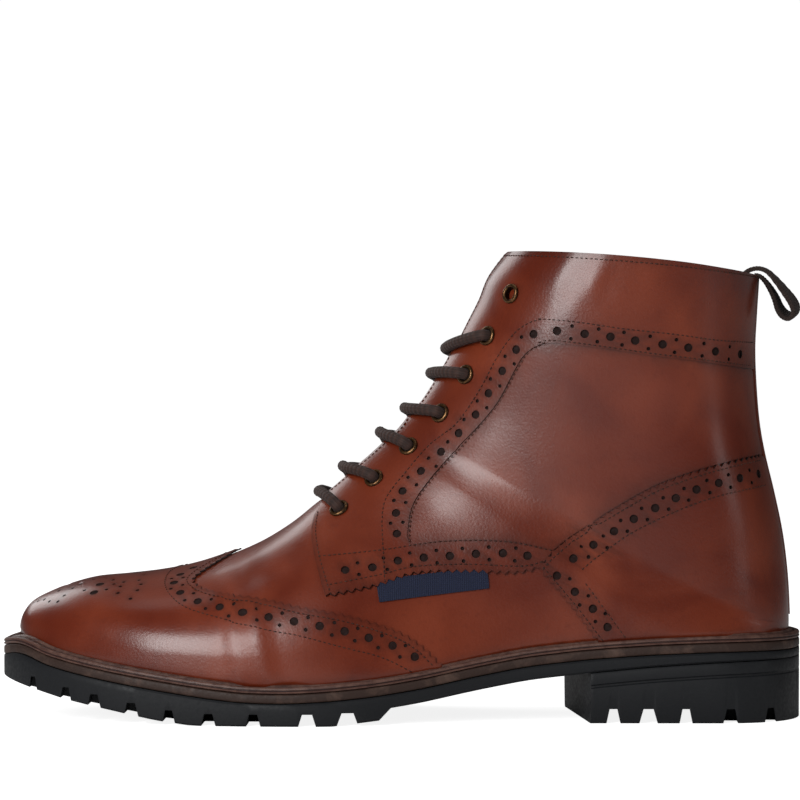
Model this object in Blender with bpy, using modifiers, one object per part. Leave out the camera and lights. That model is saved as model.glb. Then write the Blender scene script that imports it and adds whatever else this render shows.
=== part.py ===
"""A left lace-up brogue boot: a lasted upper with its overlays, on a welted sole with a lugged tread."""

import math

import bmesh
import bpy
from mathutils import Matrix, Vector

# Driving sizes, in metres. The toe points to -X, the outer side to -Y, and the floor is at Z = 0.
SOLE_LENGTH = 0.310
BALL_WIDTH = 0.108
SHAFT_HEIGHT = 0.179
TOE_SWING = 0.005
RIDGE_SWING = 0.003
WELT_MARGIN = 0.0045
GAP = 0.0003

# Thicknesses of the layers.
WALL = 0.0018
OVERLAY = 0.0010
FRAME_OVERLAY = 0.0014
TONGUE_THICK = 0.0020
INSOLE_THICK = 0.0025
WELT_THICK = 0.0024
WELT_BAND = 0.016
MIDSOLE_THICK = 0.0034
WAIST_RUBBER = 0.0050
SEAT_RUBBER = 0.0028
LUG_DEPTH = 0.0038
SLOT_OVERRUN = 0.012
HEEL_LIFT = 0.0046
HEEL_GROOVE = 0.0007
BREAST_SKEW = 0.12

# Throat, tongue, back strip and fittings.
THROAT_HALF = 0.008
THROAT_CLEAR = 0.0015
TONGUE_HALF = 0.023
STRIP_HALF = 0.0024
COLLAR_RISE = 0.0022
EYELET_RADIUS = 0.0039
EYELET_BORE = 0.00235
EYELET_WALL = 0.0004
EYELET_FLANGE = 0.0009
SEAT_CLEAR = 0.0006
LACE_RADIUS = 0.00185
LOOP_WIDTH = 0.010
TAB_THICK = 0.0007

HALF_COLUMNS = 8
COLUMN_CROWDING = 1.25
STRAND_POINTS = 3
RING_SEGMENTS = 8
SIDES = {"lateral": -1.0, "medial": 1.0}

# Plateau half widths of the sole's outline, as shares of the ball width.
OUTLINE = (
    # along, outer, inner
    (0.00, 0.440, 0.440),
    (0.12, 0.460, 0.470),
    (0.22, 0.475, 0.490),
    (0.33, 0.505, 0.490),
    (0.42, 0.500, 0.455),
    (0.52, 0.440, 0.385),
    (0.62, 0.385, 0.345),
    (0.72, 0.365, 0.335),
    (0.82, 0.360, 0.345),
    (0.92, 0.355, 0.350),
    (1.00, 0.350, 0.350),
)
TOE_ROUND = 0.27
HEEL_ROUND = 0.13
ROUND_POWER = 2.2

# Sections of the upper. Each runs from the feather edge or the back seam up to the ridge over the foot.
# Along is a share of the sole's length, up a share of the shaft's height, widths of the ball width.
FAN = (
    # low along, low up, top along, top up, outer, inner, crest, fullness
    (0.024, 0.181, 0.025, 0.200, 0.000, 0.000, 0.30, 2.4),
    (0.027, 0.179, 0.030, 0.220, 0.000, 0.000, 0.30, 2.4),
    (0.035, 0.174, 0.040, 0.240, 0.000, 0.000, 0.28, 2.4),
    (0.049, 0.160, 0.058, 0.257, 0.000, 0.000, 0.26, 2.4),
    (0.072, 0.149, 0.084, 0.275, 0.000, 0.000, 0.25, 2.4),
    (0.105, 0.137, 0.118, 0.291, 0.000, 0.000, 0.24, 2.4),
    (0.149, 0.123, 0.158, 0.298, 0.000, 0.000, 0.22, 2.3),
    (0.200, 0.109, 0.201, 0.307, 0.000, 0.000, 0.20, 2.2),
    (0.255, 0.095, 0.244, 0.322, 0.000, 0.000, 0.20, 2.1),
    (0.310, 0.084, 0.286, 0.346, 0.460, 0.445, 0.20, 2.0),
    (0.364, 0.082, 0.327, 0.377, 0.455, 0.435, 0.20, 2.0),
    (0.418, 0.087, 0.362, 0.414, 0.445, 0.415, 0.22, 1.9),
    (0.473, 0.096, 0.389, 0.451, 0.415, 0.380, 0.25, 1.9),
    (0.527, 0.110, 0.412, 0.485, 0.385, 0.352, 0.28, 1.9),
    (0.589, 0.133, 0.431, 0.516, 0.355, 0.335, 0.30, 1.9),
    (0.662, 0.157, 0.447, 0.543, 0.335, 0.322, 0.33, 2.0),
    (0.736, 0.171, 0.463, 0.568, 0.325, 0.318, 0.36, 2.0),
    (0.809, 0.180, 0.477, 0.590, 0.320, 0.318, 0.39, 2.1),
    (0.877, 0.185, 0.489, 0.608, 0.320, 0.320, 0.42, 2.1),
    (0.927, 0.187, 0.497, 0.621, 0.322, 0.322, 0.44, 2.2),
    (0.957, 0.187, 0.502, 0.630, 0.324, 0.324, 0.45, 2.2),
    (0.973, 0.187, 0.506, 0.637, 0.325, 0.325, 0.46, 2.2),
    (0.981, 0.187, 0.509, 0.643, 0.326, 0.326, 0.47, 2.2),
    (0.981, 0.248, 0.514, 0.651, 0.328, 0.328, 0.47, 2.2),
    (0.978, 0.324, 0.520, 0.664, 0.330, 0.330, 0.47, 2.2),
    (0.972, 0.401, 0.530, 0.683, 0.332, 0.332, 0.47, 2.2),
    (0.962, 0.483, 0.541, 0.711, 0.336, 0.336, 0.47, 2.2),
    (0.951, 0.562, 0.553, 0.744, 0.342, 0.342, 0.48, 2.2),
    (0.944, 0.629, 0.565, 0.779, 0.350, 0.350, 0.49, 2.2),
    (0.940, 0.705, 0.577, 0.813, 0.360, 0.360, 0.50, 2.2),
    (0.938, 0.792, 0.589, 0.853, 0.368, 0.368, 0.50, 2.2),
    (0.940, 0.868, 0.602, 0.897, 0.374, 0.374, 0.50, 2.2),
    (0.942, 0.923, 0.614, 0.947, 0.378, 0.378, 0.50, 2.2),
    (0.943, 0.953, 0.637, 1.000, 0.380, 0.380, 0.50, 2.2),
)
FEATHER_START = FAN[0][0]
FEATHER_END = 0.981
CORNER_ROW = 22
BACK_POWER = 3.0

# Underside of the sole: the tread's faces, and the rubber's face between the tread and the heel.
TREAD = (
    # along, up as a share of the shaft's height
    (0.000, 0.086),
    (0.024, 0.075),
    (0.089, 0.048),
    (0.151, 0.028),
    (0.205, 0.010),
    (0.251, 0.000),
    (0.420, 0.000),
    (0.482, 0.012),
)
TREAD_END = 0.482
HEEL_START = 0.722
END_PLACES = (0.003, 0.010, 0.017, 0.225, 0.845, 0.903, 0.943, 0.988, 0.995)
TREAD_STEP = 0.0006

# Slots between the lugs of the tread. Reach is a share of the half width, where 1 meets the middle.
TREAD_SLOTS = (
    # along, width as a share of the sole's length, reach
    (0.047, 0.008, 0.40),
    (0.091, 0.011, 0.42),
    (0.128, 0.013, 0.42),
    (0.175, 0.014, 0.42),
    (0.222, 0.012, 0.42),
    (0.271, 0.014, 0.45),
    (0.326, 0.014, 0.45),
    (0.383, 0.017, 1.10),
    (0.434, 0.020, 1.10),
)
HEEL_SLOTS = (
    (0.768, 0.012, 0.45),
    (0.812, 0.016, 0.45),
    (0.860, 0.010, 1.10),
    (0.908, 0.013, 0.45),
    (0.958, 0.010, 0.45),
)
HEEL_SLOT_DEPTH = 0.0055

# Outlines seen from the outer side: along as a share of the sole's length, up of the shaft's height.
WING_EDGE = (
    (0.301, 0.440),
    (0.301, 0.356),
    (0.280, 0.338),
    (0.256, 0.313),
    (0.247, 0.294),
    (0.264, 0.276),
    (0.292, 0.267),
    (0.339, 0.255),
    (0.378, 0.240),
    (0.435, 0.222),
    (0.492, 0.195),
    (0.525, 0.165),
    (0.552, 0.127),
)
FACING_FRONT = (
    (0.407, 0.258),
    (0.401, 0.312),
    (0.391, 0.392),
    (0.397, 0.424),
    (0.400, 0.470),
)
FACING_LOW = (
    (0.407, 0.258),
    (0.473, 0.289),
    (0.521, 0.312),
    (0.589, 0.320),
    (0.640, 0.318),
    (0.672, 0.331),
)
BAND_BACK = (
    (0.690, 0.366),
    (0.628, 0.386),
    (0.549, 0.382),
    (0.515, 0.374),
    (0.513, 0.416),
    (0.519, 0.461),
    (0.540, 0.514),
    (0.575, 0.584),
    (0.601, 0.631),
    (0.625, 0.684),
    (0.649, 0.762),
    (0.662, 0.792),
    (0.676, 0.803),
)
COLLAR_LOW = (
    (0.693, 0.806),
    (0.749, 0.796),
    (0.806, 0.781),
    (0.862, 0.769),
    (0.929, 0.752),
    (1.020, 0.735),
)
COUNTER_TOP = (
    (0.673, 0.329),
    (0.690, 0.366),
    (0.724, 0.410),
    (0.770, 0.459),
    (0.817, 0.503),
    (0.864, 0.533),
    (0.911, 0.556),
    (1.020, 0.585),
)
COUNTER_FRONT = (
    (0.742, 0.172),
    (0.712, 0.238),
    (0.673, 0.329),
)
TAB_OUTLINE = ((0.4775, 0.285), (0.5885, 0.3135), (0.5905, 0.287), (0.484, 0.261))
EYELETS = (
    # along, up
    (0.429, 0.447),
    (0.471, 0.512),
    (0.514, 0.580),
    (0.554, 0.653),
    (0.586, 0.737),
    (0.613, 0.820),
    (0.642, 0.910),
)
LACE_CROSSINGS = (
    # top along, top up on the ridge
    (0.404, 0.476),
    (0.437, 0.524),
    (0.483, 0.598),
    (0.515, 0.654),
    (0.549, 0.731),
    (0.567, 0.785),
)
LOOP_OUTLINE = (
    (0.9250, 0.900),
    (0.9250, 0.956),
    (0.934, 0.972),
    (0.951, 0.979),
    (0.966, 0.966),
    (0.983, 0.930),
    (0.995, 0.901),
    (0.999, 0.876),
    (0.989, 0.860),
    (0.974, 0.873),
    (0.964, 0.901),
    (0.957, 0.938),
    (0.9535, 0.957),
    (0.943, 0.9635),
    (0.934, 0.9600),
    (0.9300, 0.952),
    (0.9300, 0.900),
)
CUTTER_HALF = 0.09
HOLE_REACH = 0.0045
HEEL_LINE = 0.0010
SOLE_EASE = 0.0008
HEEL_FOOT_EASE = 0.0022
STRAND_TOP_HEIGHT = 0.985
BAND_LEAD = (-0.04, 0.03)
THROAT_BACK = 0.045
THROAT_SPAN = (0.47, 1.1)
THROAT_FRONT = [(0.40, 0.455)]
THROAT_END = [(0.44, 0.455)]
THROAT_ABOVE = [(0.60, 1.20), (0.70, 1.20)]
TONGUE_BACK = 0.06
TONGUE_SPAN = (0.44, 0.96)
TONGUE_FRONT = [(0.36, 0.40)]
TONGUE_END = [(0.43, 0.40)]
WING_BELOW = [(0.565, 0.05), (-0.05, 0.05), (-0.05, 0.44)]
FRAME_TOP = [(0.37, 0.55), (0.44, 0.75), (0.54, 1.08), (1.02, 1.10)]
COUNTER_BELOW = [(1.02, 0.10), (0.760, 0.10)]
STRIP_OUTLINE = [(0.86, 0.10), (1.03, 0.10), (1.03, 1.10), (0.86, 1.10)]
BELOW_ENDS = (-0.05, 1.05)
BELOW_LOW = -0.1
LOOP_EYE = ((0.980, 0.912), (0.985, 0.914), (0.992, 0.896), (0.993, 0.878), (0.988, 0.874), (0.981, 0.890))

# Colour, roughness and metallic value of each finish.
FINISHES = {
    "cognac_leather": ((0.220, 0.048, 0.016), 0.30, 0.0),
    "lining_leather": ((0.160, 0.090, 0.050), 0.70, 0.0),
    "welt_leather": ((0.110, 0.035, 0.018), 0.50, 0.0),
    "midsole_brown": ((0.045, 0.025, 0.018), 0.60, 0.0),
    "black_rubber": ((0.012, 0.013, 0.016), 0.55, 0.0),
    "brass": ((0.300, 0.200, 0.090), 0.35, 1.0),
    "lace_cord": ((0.030, 0.017, 0.012), 0.75, 0.0),
    "navy_tape": ((0.015, 0.020, 0.070), 0.70, 0.0),
}


def clear_scene():
    for old in list(bpy.data.objects):
        bpy.data.objects.remove(old, do_unlink=True)


def new_collection(name):
    collection = bpy.data.collections.new(name)
    bpy.context.scene.collection.children.link(collection)
    return collection


def finish(name):
    material = bpy.data.materials.get(name) or bpy.data.materials.new(name)
    material.use_nodes = True
    shader = material.node_tree.nodes["Principled BSDF"]
    colour, roughness, metallic = FINISHES[name]
    shader.inputs["Base Color"].default_value = (*colour, 1.0)
    shader.inputs["Roughness"].default_value = roughness
    shader.inputs["Metallic"].default_value = metallic
    return material


def add_object(name, mesh, collection, finish_name=None):
    obj = bpy.data.objects.new(name, mesh)
    collection.objects.link(obj)
    if finish_name:
        mesh.materials.clear()
        mesh.materials.append(finish(finish_name))
        mesh.shade_smooth()
        mesh.set_sharp_from_angle(angle=math.radians(40))
    else:
        obj.hide_render = True
        obj.display_type = "WIRE"
    return obj


def mesh_from(name, form):
    mesh = bpy.data.meshes.new(name)
    form.to_mesh(mesh)
    form.free()
    return mesh


def spline_row(rows, position):
    """The row of the table at a fractional index, on a smooth curve through the rows."""
    last = len(rows) - 1
    position = min(max(position, 0.0), last)
    index = min(int(position), last - 1)
    part = position - index
    before = rows[max(index - 1, 0)]
    first = rows[index]
    second = rows[index + 1]
    after = rows[min(index + 2, last)]
    values = []
    for a, b, c, d in zip(before, first, second, after):
        slope = 0.5 * (c - a)
        next_slope = 0.5 * (d - b)
        rise = c - b
        values.append(
            b
            + slope * part
            + (3.0 * rise - 2.0 * slope - next_slope) * part**2
            + (slope + next_slope - 2.0 * rise) * part**3
        )
    return values


def lookup(table, along, column=1):
    """The column's value at a place along the sole, eased between the rows."""
    if along <= table[0][0]:
        return table[0][column]
    for low, high in zip(table, table[1:]):
        if along <= high[0]:
            part = (along - low[0]) / (high[0] - low[0])
            return low[column] + (high[column] - low[column]) * part
    return table[-1][column]


def smooth_lookup(table, along, column):
    for index, (low, high) in enumerate(zip(table, table[1:])):
        if along <= high[0]:
            part = (along - low[0]) / (high[0] - low[0])
            return spline_row(table, index + max(part, 0.0))[column]
    return table[-1][column]


def along_to_x(along):
    return (along - 0.5) * SOLE_LENGTH


def up_to_z(up):
    return up * SHAFT_HEIGHT


def swing(along):
    return TOE_SWING * max(0.0, 1.0 - along / 0.45) ** 2


def outline_half(along, side):
    """Half width of the sole at a share of its length, on the outer or inner side."""
    along = min(max(along, 0.0), 1.0)
    half = smooth_lookup(OUTLINE, along, 1 if side < 0 else 2) * BALL_WIDTH
    if along < TOE_ROUND:
        half *= math.sqrt(max(0.0, 1.0 - ((TOE_ROUND - along) / TOE_ROUND) ** ROUND_POWER))
    if along > 1.0 - HEEL_ROUND:
        half *= math.sqrt(max(0.0, 1.0 - ((along - 1.0 + HEEL_ROUND) / HEEL_ROUND) ** ROUND_POWER))
    return half


def feather_half(along, side):
    """Half width of the upper's lower edge, inside the welt's margin."""
    share = (along - FEATHER_START) / (FEATHER_END - FEATHER_START)
    return outline_half(share, side) * (1.0 - 2.0 * WELT_MARGIN / BALL_WIDTH)


def feather_up(along):
    """Height of the upper's lower edge."""
    rows = [(row[0], row[1]) for row in FAN[: CORNER_ROW + 1]]
    return up_to_z(lookup(rows, along))


def upper_point(row, height, side):
    """A point of the base surface: row picks the section, height runs 0 to 1 from its low to its top end."""
    low_x, low_z, top_x, top_z, outer, inner, crest, fullness = spline_row(FAN, row)
    feather = feather_half(low_x, side) if row < CORNER_ROW else 0.0
    widest = max(feather * 1.02, (outer if side < 0 else inner) * BALL_WIDTH)
    if height < crest:
        part = 1.0 - (1.0 - height / crest) ** BACK_POWER
        half = feather + (widest - feather) * math.sqrt(max(part, 0.0))
    else:
        part = 1.0 - ((height - crest) / (1.0 - crest)) ** fullness
        half = widest * math.sqrt(max(part, 0.0))
    middle = swing(low_x) * (1.0 - height)
    instep = math.sin(math.pi * min(max(row / CORNER_ROW, 0.0), 1.0))
    middle += (swing(top_x) + RIDGE_SWING * instep) * height
    rise = COLLAR_RISE * max(0.0, row - (len(FAN) - 2)) * 4.0 * height * (1.0 - height)
    x = along_to_x(low_x + (top_x - low_x) * height)
    z = up_to_z(low_z + (top_z - low_z) * height) + rise
    return Vector((x, middle + side * half, z))


def upper_surface():
    """The open surface that the upper and its overlays share."""
    form = bmesh.new()
    grid = []
    for row in range(len(FAN)):
        line = []
        for column in range(-HALF_COLUMNS, HALF_COLUMNS + 1):
            turn = 1.0 - abs(column) / HALF_COLUMNS
            height = (0.5 - 0.5 * math.cos(math.pi * turn)) ** COLUMN_CROWDING
            line.append(form.verts.new(upper_point(row, height, -1.0 if column < 0 else 1.0)))
        grid.append(line)
    for row, line in enumerate(grid[:-1]):
        for column in range(len(line) - 1):
            corners = (line[column], line[column + 1], grid[row + 1][column + 1], grid[row + 1][column])
            form.faces.new(corners)
    bmesh.ops.remove_doubles(form, verts=form.verts, dist=1e-5)
    bmesh.ops.dissolve_degenerate(form, edges=form.edges, dist=1e-5)
    bmesh.ops.recalc_face_normals(form, faces=form.faces)
    highest = max(form.faces, key=lambda face: face.normal.z**2)
    if highest.normal.z < 0:
        bmesh.ops.reverse_faces(form, faces=form.faces)
    bmesh.ops.triangulate(form, faces=form.faces)
    return form


def surface_at(along, up, side):
    """The row and height of the base surface that shows at a place of the side view."""
    x = along_to_x(along)
    z = up_to_z(up)
    best = (0.0, 0.0)
    row_step, height_step = 0.5, 0.05
    candidates = [
        (row * row_step, height * height_step)
        for row in range(int((len(FAN) - 1) / row_step) + 1)
        for height in range(21)
    ]
    for _ in range(8):
        best = min(
            candidates,
            key=lambda c: math.hypot(upper_point(*c, side).x - x, upper_point(*c, side).z - z),
        )
        row_step *= 0.5
        height_step *= 0.5
        candidates = [
            (
                min(max(best[0] + i * row_step, 0.0), len(FAN) - 1.0),
                min(max(best[1] + j * height_step, 0.0), 1.0),
            )
            for i in range(-2, 3)
            for j in range(-2, 3)
        ]
    return best


def surface_normal(row, height, side):
    step = 0.02
    along = upper_point(row + step, height, side) - upper_point(row - step, height, side)
    around = upper_point(row, min(height + step, 1.0), side) - upper_point(row, height - step, side)
    normal = along.cross(around).normalized()
    return normal if normal.y * side > 0 else -normal


def shell(name, low, high, collection, finish_name):
    """A closed skin that follows the base surface, from one height over it to another."""
    mesh = mesh_from(name, upper_surface())
    obj = add_object(name, mesh, collection, finish_name)
    inward = high <= 0.0
    lift = obj.modifiers.new("Lift", "DISPLACE")
    lift.strength = high if inward else low
    lift.mid_level = 0.0
    wall = obj.modifiers.new("Wall", "SOLIDIFY")
    wall.thickness = high - low
    wall.offset = -1.0 if inward else 1.0
    wall.use_quality_normals = False
    return obj


def cut(obj, cutter, operation):
    step = obj.modifiers.new(cutter.name, "BOOLEAN")
    step.operation = operation
    step.object = cutter
    step.solver = "EXACT"


def prism(name, outline, low_y, high_y, collection, finish_name=None, hole=None):
    """An outline of the side view, as shares, drawn out from one Y to the other."""
    curve = bpy.data.curves.new(name, "CURVE")
    curve.dimensions = "2D"
    curve.fill_mode = "BOTH"
    curve.extrude = 0.5 * (high_y - low_y)
    for points in (outline, hole):
        if not points:
            continue
        spline = curve.splines.new("POLY")
        spline.points.add(len(points) - 1)
        spline.use_cyclic_u = True
        for place, (along, up) in zip(spline.points, points):
            place.co = (along_to_x(along), up_to_z(up), 0.0, 1.0)
    guide = bpy.data.objects.new(name + "_guide", curve)
    collection.objects.link(guide)
    bpy.context.view_layer.update()
    mesh = bpy.data.meshes.new_from_object(guide.evaluated_get(bpy.context.evaluated_depsgraph_get()))
    bpy.data.objects.remove(guide, do_unlink=True)
    turn = Matrix.Rotation(math.radians(90), 4, "X")
    move = Matrix.Translation((0.0, 0.5 * (low_y + high_y), 0.0))
    form = bmesh.new()
    form.from_mesh(mesh)
    bmesh.ops.transform(form, matrix=move @ turn, verts=form.verts)
    bmesh.ops.remove_doubles(form, verts=form.verts, dist=1e-6)
    bmesh.ops.recalc_face_normals(form, faces=form.faces)
    form.to_mesh(mesh)
    form.free()
    return add_object(name, mesh, collection, finish_name)


def inset(outline, distance):
    """The outline with each point moved inwards, in shares."""
    points = [(along * SOLE_LENGTH, up * SHAFT_HEIGHT) for along, up in outline]
    area = sum(a[0] * b[1] - b[0] * a[1] for a, b in zip(points, points[1:] + points[:1]))
    turn = 1.0 if area > 0 else -1.0
    moved = []
    for before, here, after in zip(points[-1:] + points[:-1], points, points[1:] + points[:1]):
        first = Vector((here[0] - before[0], here[1] - before[1])).normalized()
        second = Vector((after[0] - here[0], after[1] - here[1])).normalized()
        inwards = Vector((-first.y - second.y, first.x + second.x)).normalized() * turn
        reach = distance / max(0.4, math.sqrt(0.5 + 0.5 * first.dot(second)))
        moved.append(
            ((here[0] + inwards.x * reach) / SOLE_LENGTH, (here[1] + inwards.y * reach) / SHAFT_HEIGHT)
        )
    return moved


def below_feather():
    """The side view outline of all that lies under the upper's lower edge."""
    line = [(row[0], row[1] + GAP / SHAFT_HEIGHT) for row in FAN[: CORNER_ROW + 1]]
    front, back = BELOW_ENDS
    line = [(front, line[0][1])] + line + [(back, line[-1][1])]
    return line + [(back, BELOW_LOW), (front, BELOW_LOW)]


def inset_half(half, margin):
    """A half width less the margin, eased so that the ends still close to a point."""
    return half - margin * min(1.0, 0.5 * half / margin) if margin > 0.0 else half


def sole_slab(name, start, end, levels, collection, finish_name, skew=0.0, half_at=None):
    """A slab on the sole's outline. Levels are (height function, inset), from the top to the bottom."""
    half_at = half_at or outline_half
    centre = along_to_x(0.5 * (start + end)) if start == 0.0 or half_at is not outline_half else 0.0
    places = {row[0] for row in FAN[:CORNER_ROW]}
    if half_at is outline_half:
        places |= set(END_PLACES)
        places |= {TREAD_END, TREAD_END + TREAD_STEP}
    places = sorted(place for place in places if start < place < end)
    places = [start] + places + [end]
    form = bmesh.new()
    rings = []
    for height, margin in levels:
        ring = {}
        for side in (-1.0, 1.0):
            line = []
            for place in places:
                half = inset_half(half_at(place, side), margin)
                x = centre + (along_to_x(place) - centre) * (1.0 - 2.0 * margin / SOLE_LENGTH)
                y = swing(place) + side * half
                x -= skew * y * (1.0 - (place - start) / (end - start))
                line.append(form.verts.new((x, y, height(x / SOLE_LENGTH + 0.5))))
            ring[side] = line
        rings.append(ring)
    last = len(places) - 1
    for upper_ring, lower_ring in zip(rings, rings[1:]):
        for side in (-1.0, 1.0):
            for i in range(last):
                form.faces.new(
                    (upper_ring[side][i], upper_ring[side][i + 1], lower_ring[side][i + 1], lower_ring[side][i])
                )
        for i in (0, last):
            form.faces.new((upper_ring[-1.0][i], upper_ring[1.0][i], lower_ring[1.0][i], lower_ring[-1.0][i]))
    for ring in (rings[0], rings[-1]):
        for i in range(last):
            form.faces.new((ring[-1.0][i], ring[-1.0][i + 1], ring[1.0][i + 1], ring[1.0][i]))
    bmesh.ops.remove_doubles(form, verts=form.verts, dist=1e-5)
    bmesh.ops.dissolve_degenerate(form, edges=form.edges, dist=1e-6)
    bmesh.ops.recalc_face_normals(form, faces=form.faces)
    return add_object(name, mesh_from(name, form), collection, finish_name)


def welt_top(along):
    return feather_up(along)


def midsole_top(along):
    return welt_top(along) - WELT_THICK - GAP


def rubber_top(along):
    return midsole_top(along) - MIDSOLE_THICK - GAP


def rubber_low(along):
    """Underside of the rubber without its lugs."""
    part = min(max((along - HEEL_START) / (1.0 - HEEL_START), 0.0), 1.0)
    return rubber_top(along) - WAIST_RUBBER + (WAIST_RUBBER - SEAT_RUBBER) * part


def tread_low(along):
    if along > TREAD_END + 0.5 * TREAD_STEP:
        return rubber_low(along)
    return up_to_z(lookup(TREAD, along))


def slot_cutter(name, slots, top, depth, cutters):
    """One cutter of joined blocks, a slot each side of the middle or right across."""
    form = bmesh.new()
    for along, width, reach in slots:
        outer = max(outline_half(along, side) for side in (-1.0, 1.0)) + WELT_MARGIN
        spans = [(-outer, outer)]
        if reach < 1.0:
            spans = [(-outer, -outer * (1.0 - reach)), (outer * (1.0 - reach), outer)]
        for low_y, high_y in spans:
            corners = bmesh.ops.create_cube(form, size=1.0)["verts"]
            size = (width * SOLE_LENGTH, high_y - low_y, depth + SLOT_OVERRUN)
            height = top(along) - 0.5 * (depth + SLOT_OVERRUN)
            middle = (along_to_x(along), swing(along) + 0.5 * (low_y + high_y), height)
            bmesh.ops.scale(form, vec=size, verts=corners)
            bmesh.ops.translate(form, vec=middle, verts=corners)
    return add_object(name, mesh_from(name, form), cutters)


def build_sole(parts, cutters):
    welt = sole_slab(
        "welt",
        0.0,
        1.0,
        [
            (lambda a: welt_top(a), 0.0010),
            (lambda a: welt_top(a) - 0.4 * WELT_THICK, 0.0),
            (lambda a: welt_top(a) - WELT_THICK, 0.0004),
        ],
        parts,
        "welt_leather",
    )
    inner = sole_slab(
        "welt_inner",
        0.0,
        1.0,
        [(lambda a: welt_top(a) + 0.01, WELT_BAND), (lambda a: welt_top(a) - 0.02, WELT_BAND)],
        cutters,
        None,
    )
    cut(welt, inner, "DIFFERENCE")
    sole_slab(
        "midsole",
        0.0,
        1.0,
        [
            (lambda a: midsole_top(a), 0.0008),
            (lambda a: midsole_top(a) - MIDSOLE_THICK, 0.0006),
        ],
        parts,
        "midsole_brown",
    )
    outsole = sole_slab(
        "outsole",
        0.0,
        1.0,
        [
            (lambda a: rubber_top(a), 0.0006),
            (lambda a: 0.5 * (rubber_top(a) + rubber_low(a)), 0.0002),
            (lambda a: tread_low(a), 0.0008),
        ],
        parts,
        "black_rubber",
    )
    lugs = slot_cutter("tread_slots", TREAD_SLOTS, lambda a: tread_low(a) + LUG_DEPTH, LUG_DEPTH, cutters)
    cut(outsole, lugs, "DIFFERENCE")
    heel = sole_slab(
        "heel",
        HEEL_START,
        1.0,
        [
            (lambda a: rubber_low(a) - GAP, HEEL_LINE),
            (lambda a: rubber_low(a) - GAP - HEEL_LIFT, SOLE_EASE),
            (lambda a: rubber_low(a) - 2.0 * GAP - HEEL_LIFT, SOLE_EASE + HEEL_GROOVE),
            (lambda a: rubber_low(a) - GAP - HEEL_LIFT - HEEL_LINE, SOLE_EASE + HEEL_GROOVE),
            (lambda a: rubber_low(a) - 2.0 * GAP - HEEL_LIFT - HEEL_LINE, SOLE_EASE),
            (lambda a: 0.0, HEEL_FOOT_EASE),
        ],
        parts,
        "black_rubber",
        skew=BREAST_SKEW,
    )
    lifts = slot_cutter("heel_slots", HEEL_SLOTS, lambda a: HEEL_SLOT_DEPTH, HEEL_SLOT_DEPTH, cutters)
    cut(heel, lifts, "DIFFERENCE")


def build_insole(parts):
    margin = WALL + 5.0 * GAP
    sole_slab(
        "insole",
        FEATHER_START,
        FEATHER_END,
        [
            (lambda a: welt_top(a) + GAP + INSOLE_THICK, margin),
            (lambda a: welt_top(a) + GAP, margin),
        ],
        parts,
        "lining_leather",
        half_at=feather_half,
    )


def front_band(depth_along, low_up, high_up):
    """A side view outline along the ridge over the instep, reaching back by a share of the length."""
    rows = [row for row in FAN if low_up <= row[3] <= high_up]
    back = [(row[2] + depth_along, row[3]) for row in reversed(rows)]
    front = [(row[2] + BAND_LEAD[0], row[3] + BAND_LEAD[1]) for row in rows]
    return front + back


def hole_cutter(name, radius, reach, cutters):
    """Cylinders through the facings, one at each eyelet, on both sides."""
    form = bmesh.new()
    for side in SIDES.values():
        for along, up in EYELETS:
            row, height = surface_at(along, up, side)
            matrix = Matrix.Translation(upper_point(row, height, side))
            matrix = matrix @ surface_normal(row, height, side).to_track_quat("Z", "Y").to_matrix().to_4x4()
            bmesh.ops.create_cone(
                form,
                cap_ends=True,
                segments=RING_SEGMENTS,
                radius1=radius,
                radius2=radius,
                depth=2.0 * reach,
                matrix=matrix,
            )
    return add_object(name, mesh_from(name, form), cutters)


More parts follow.
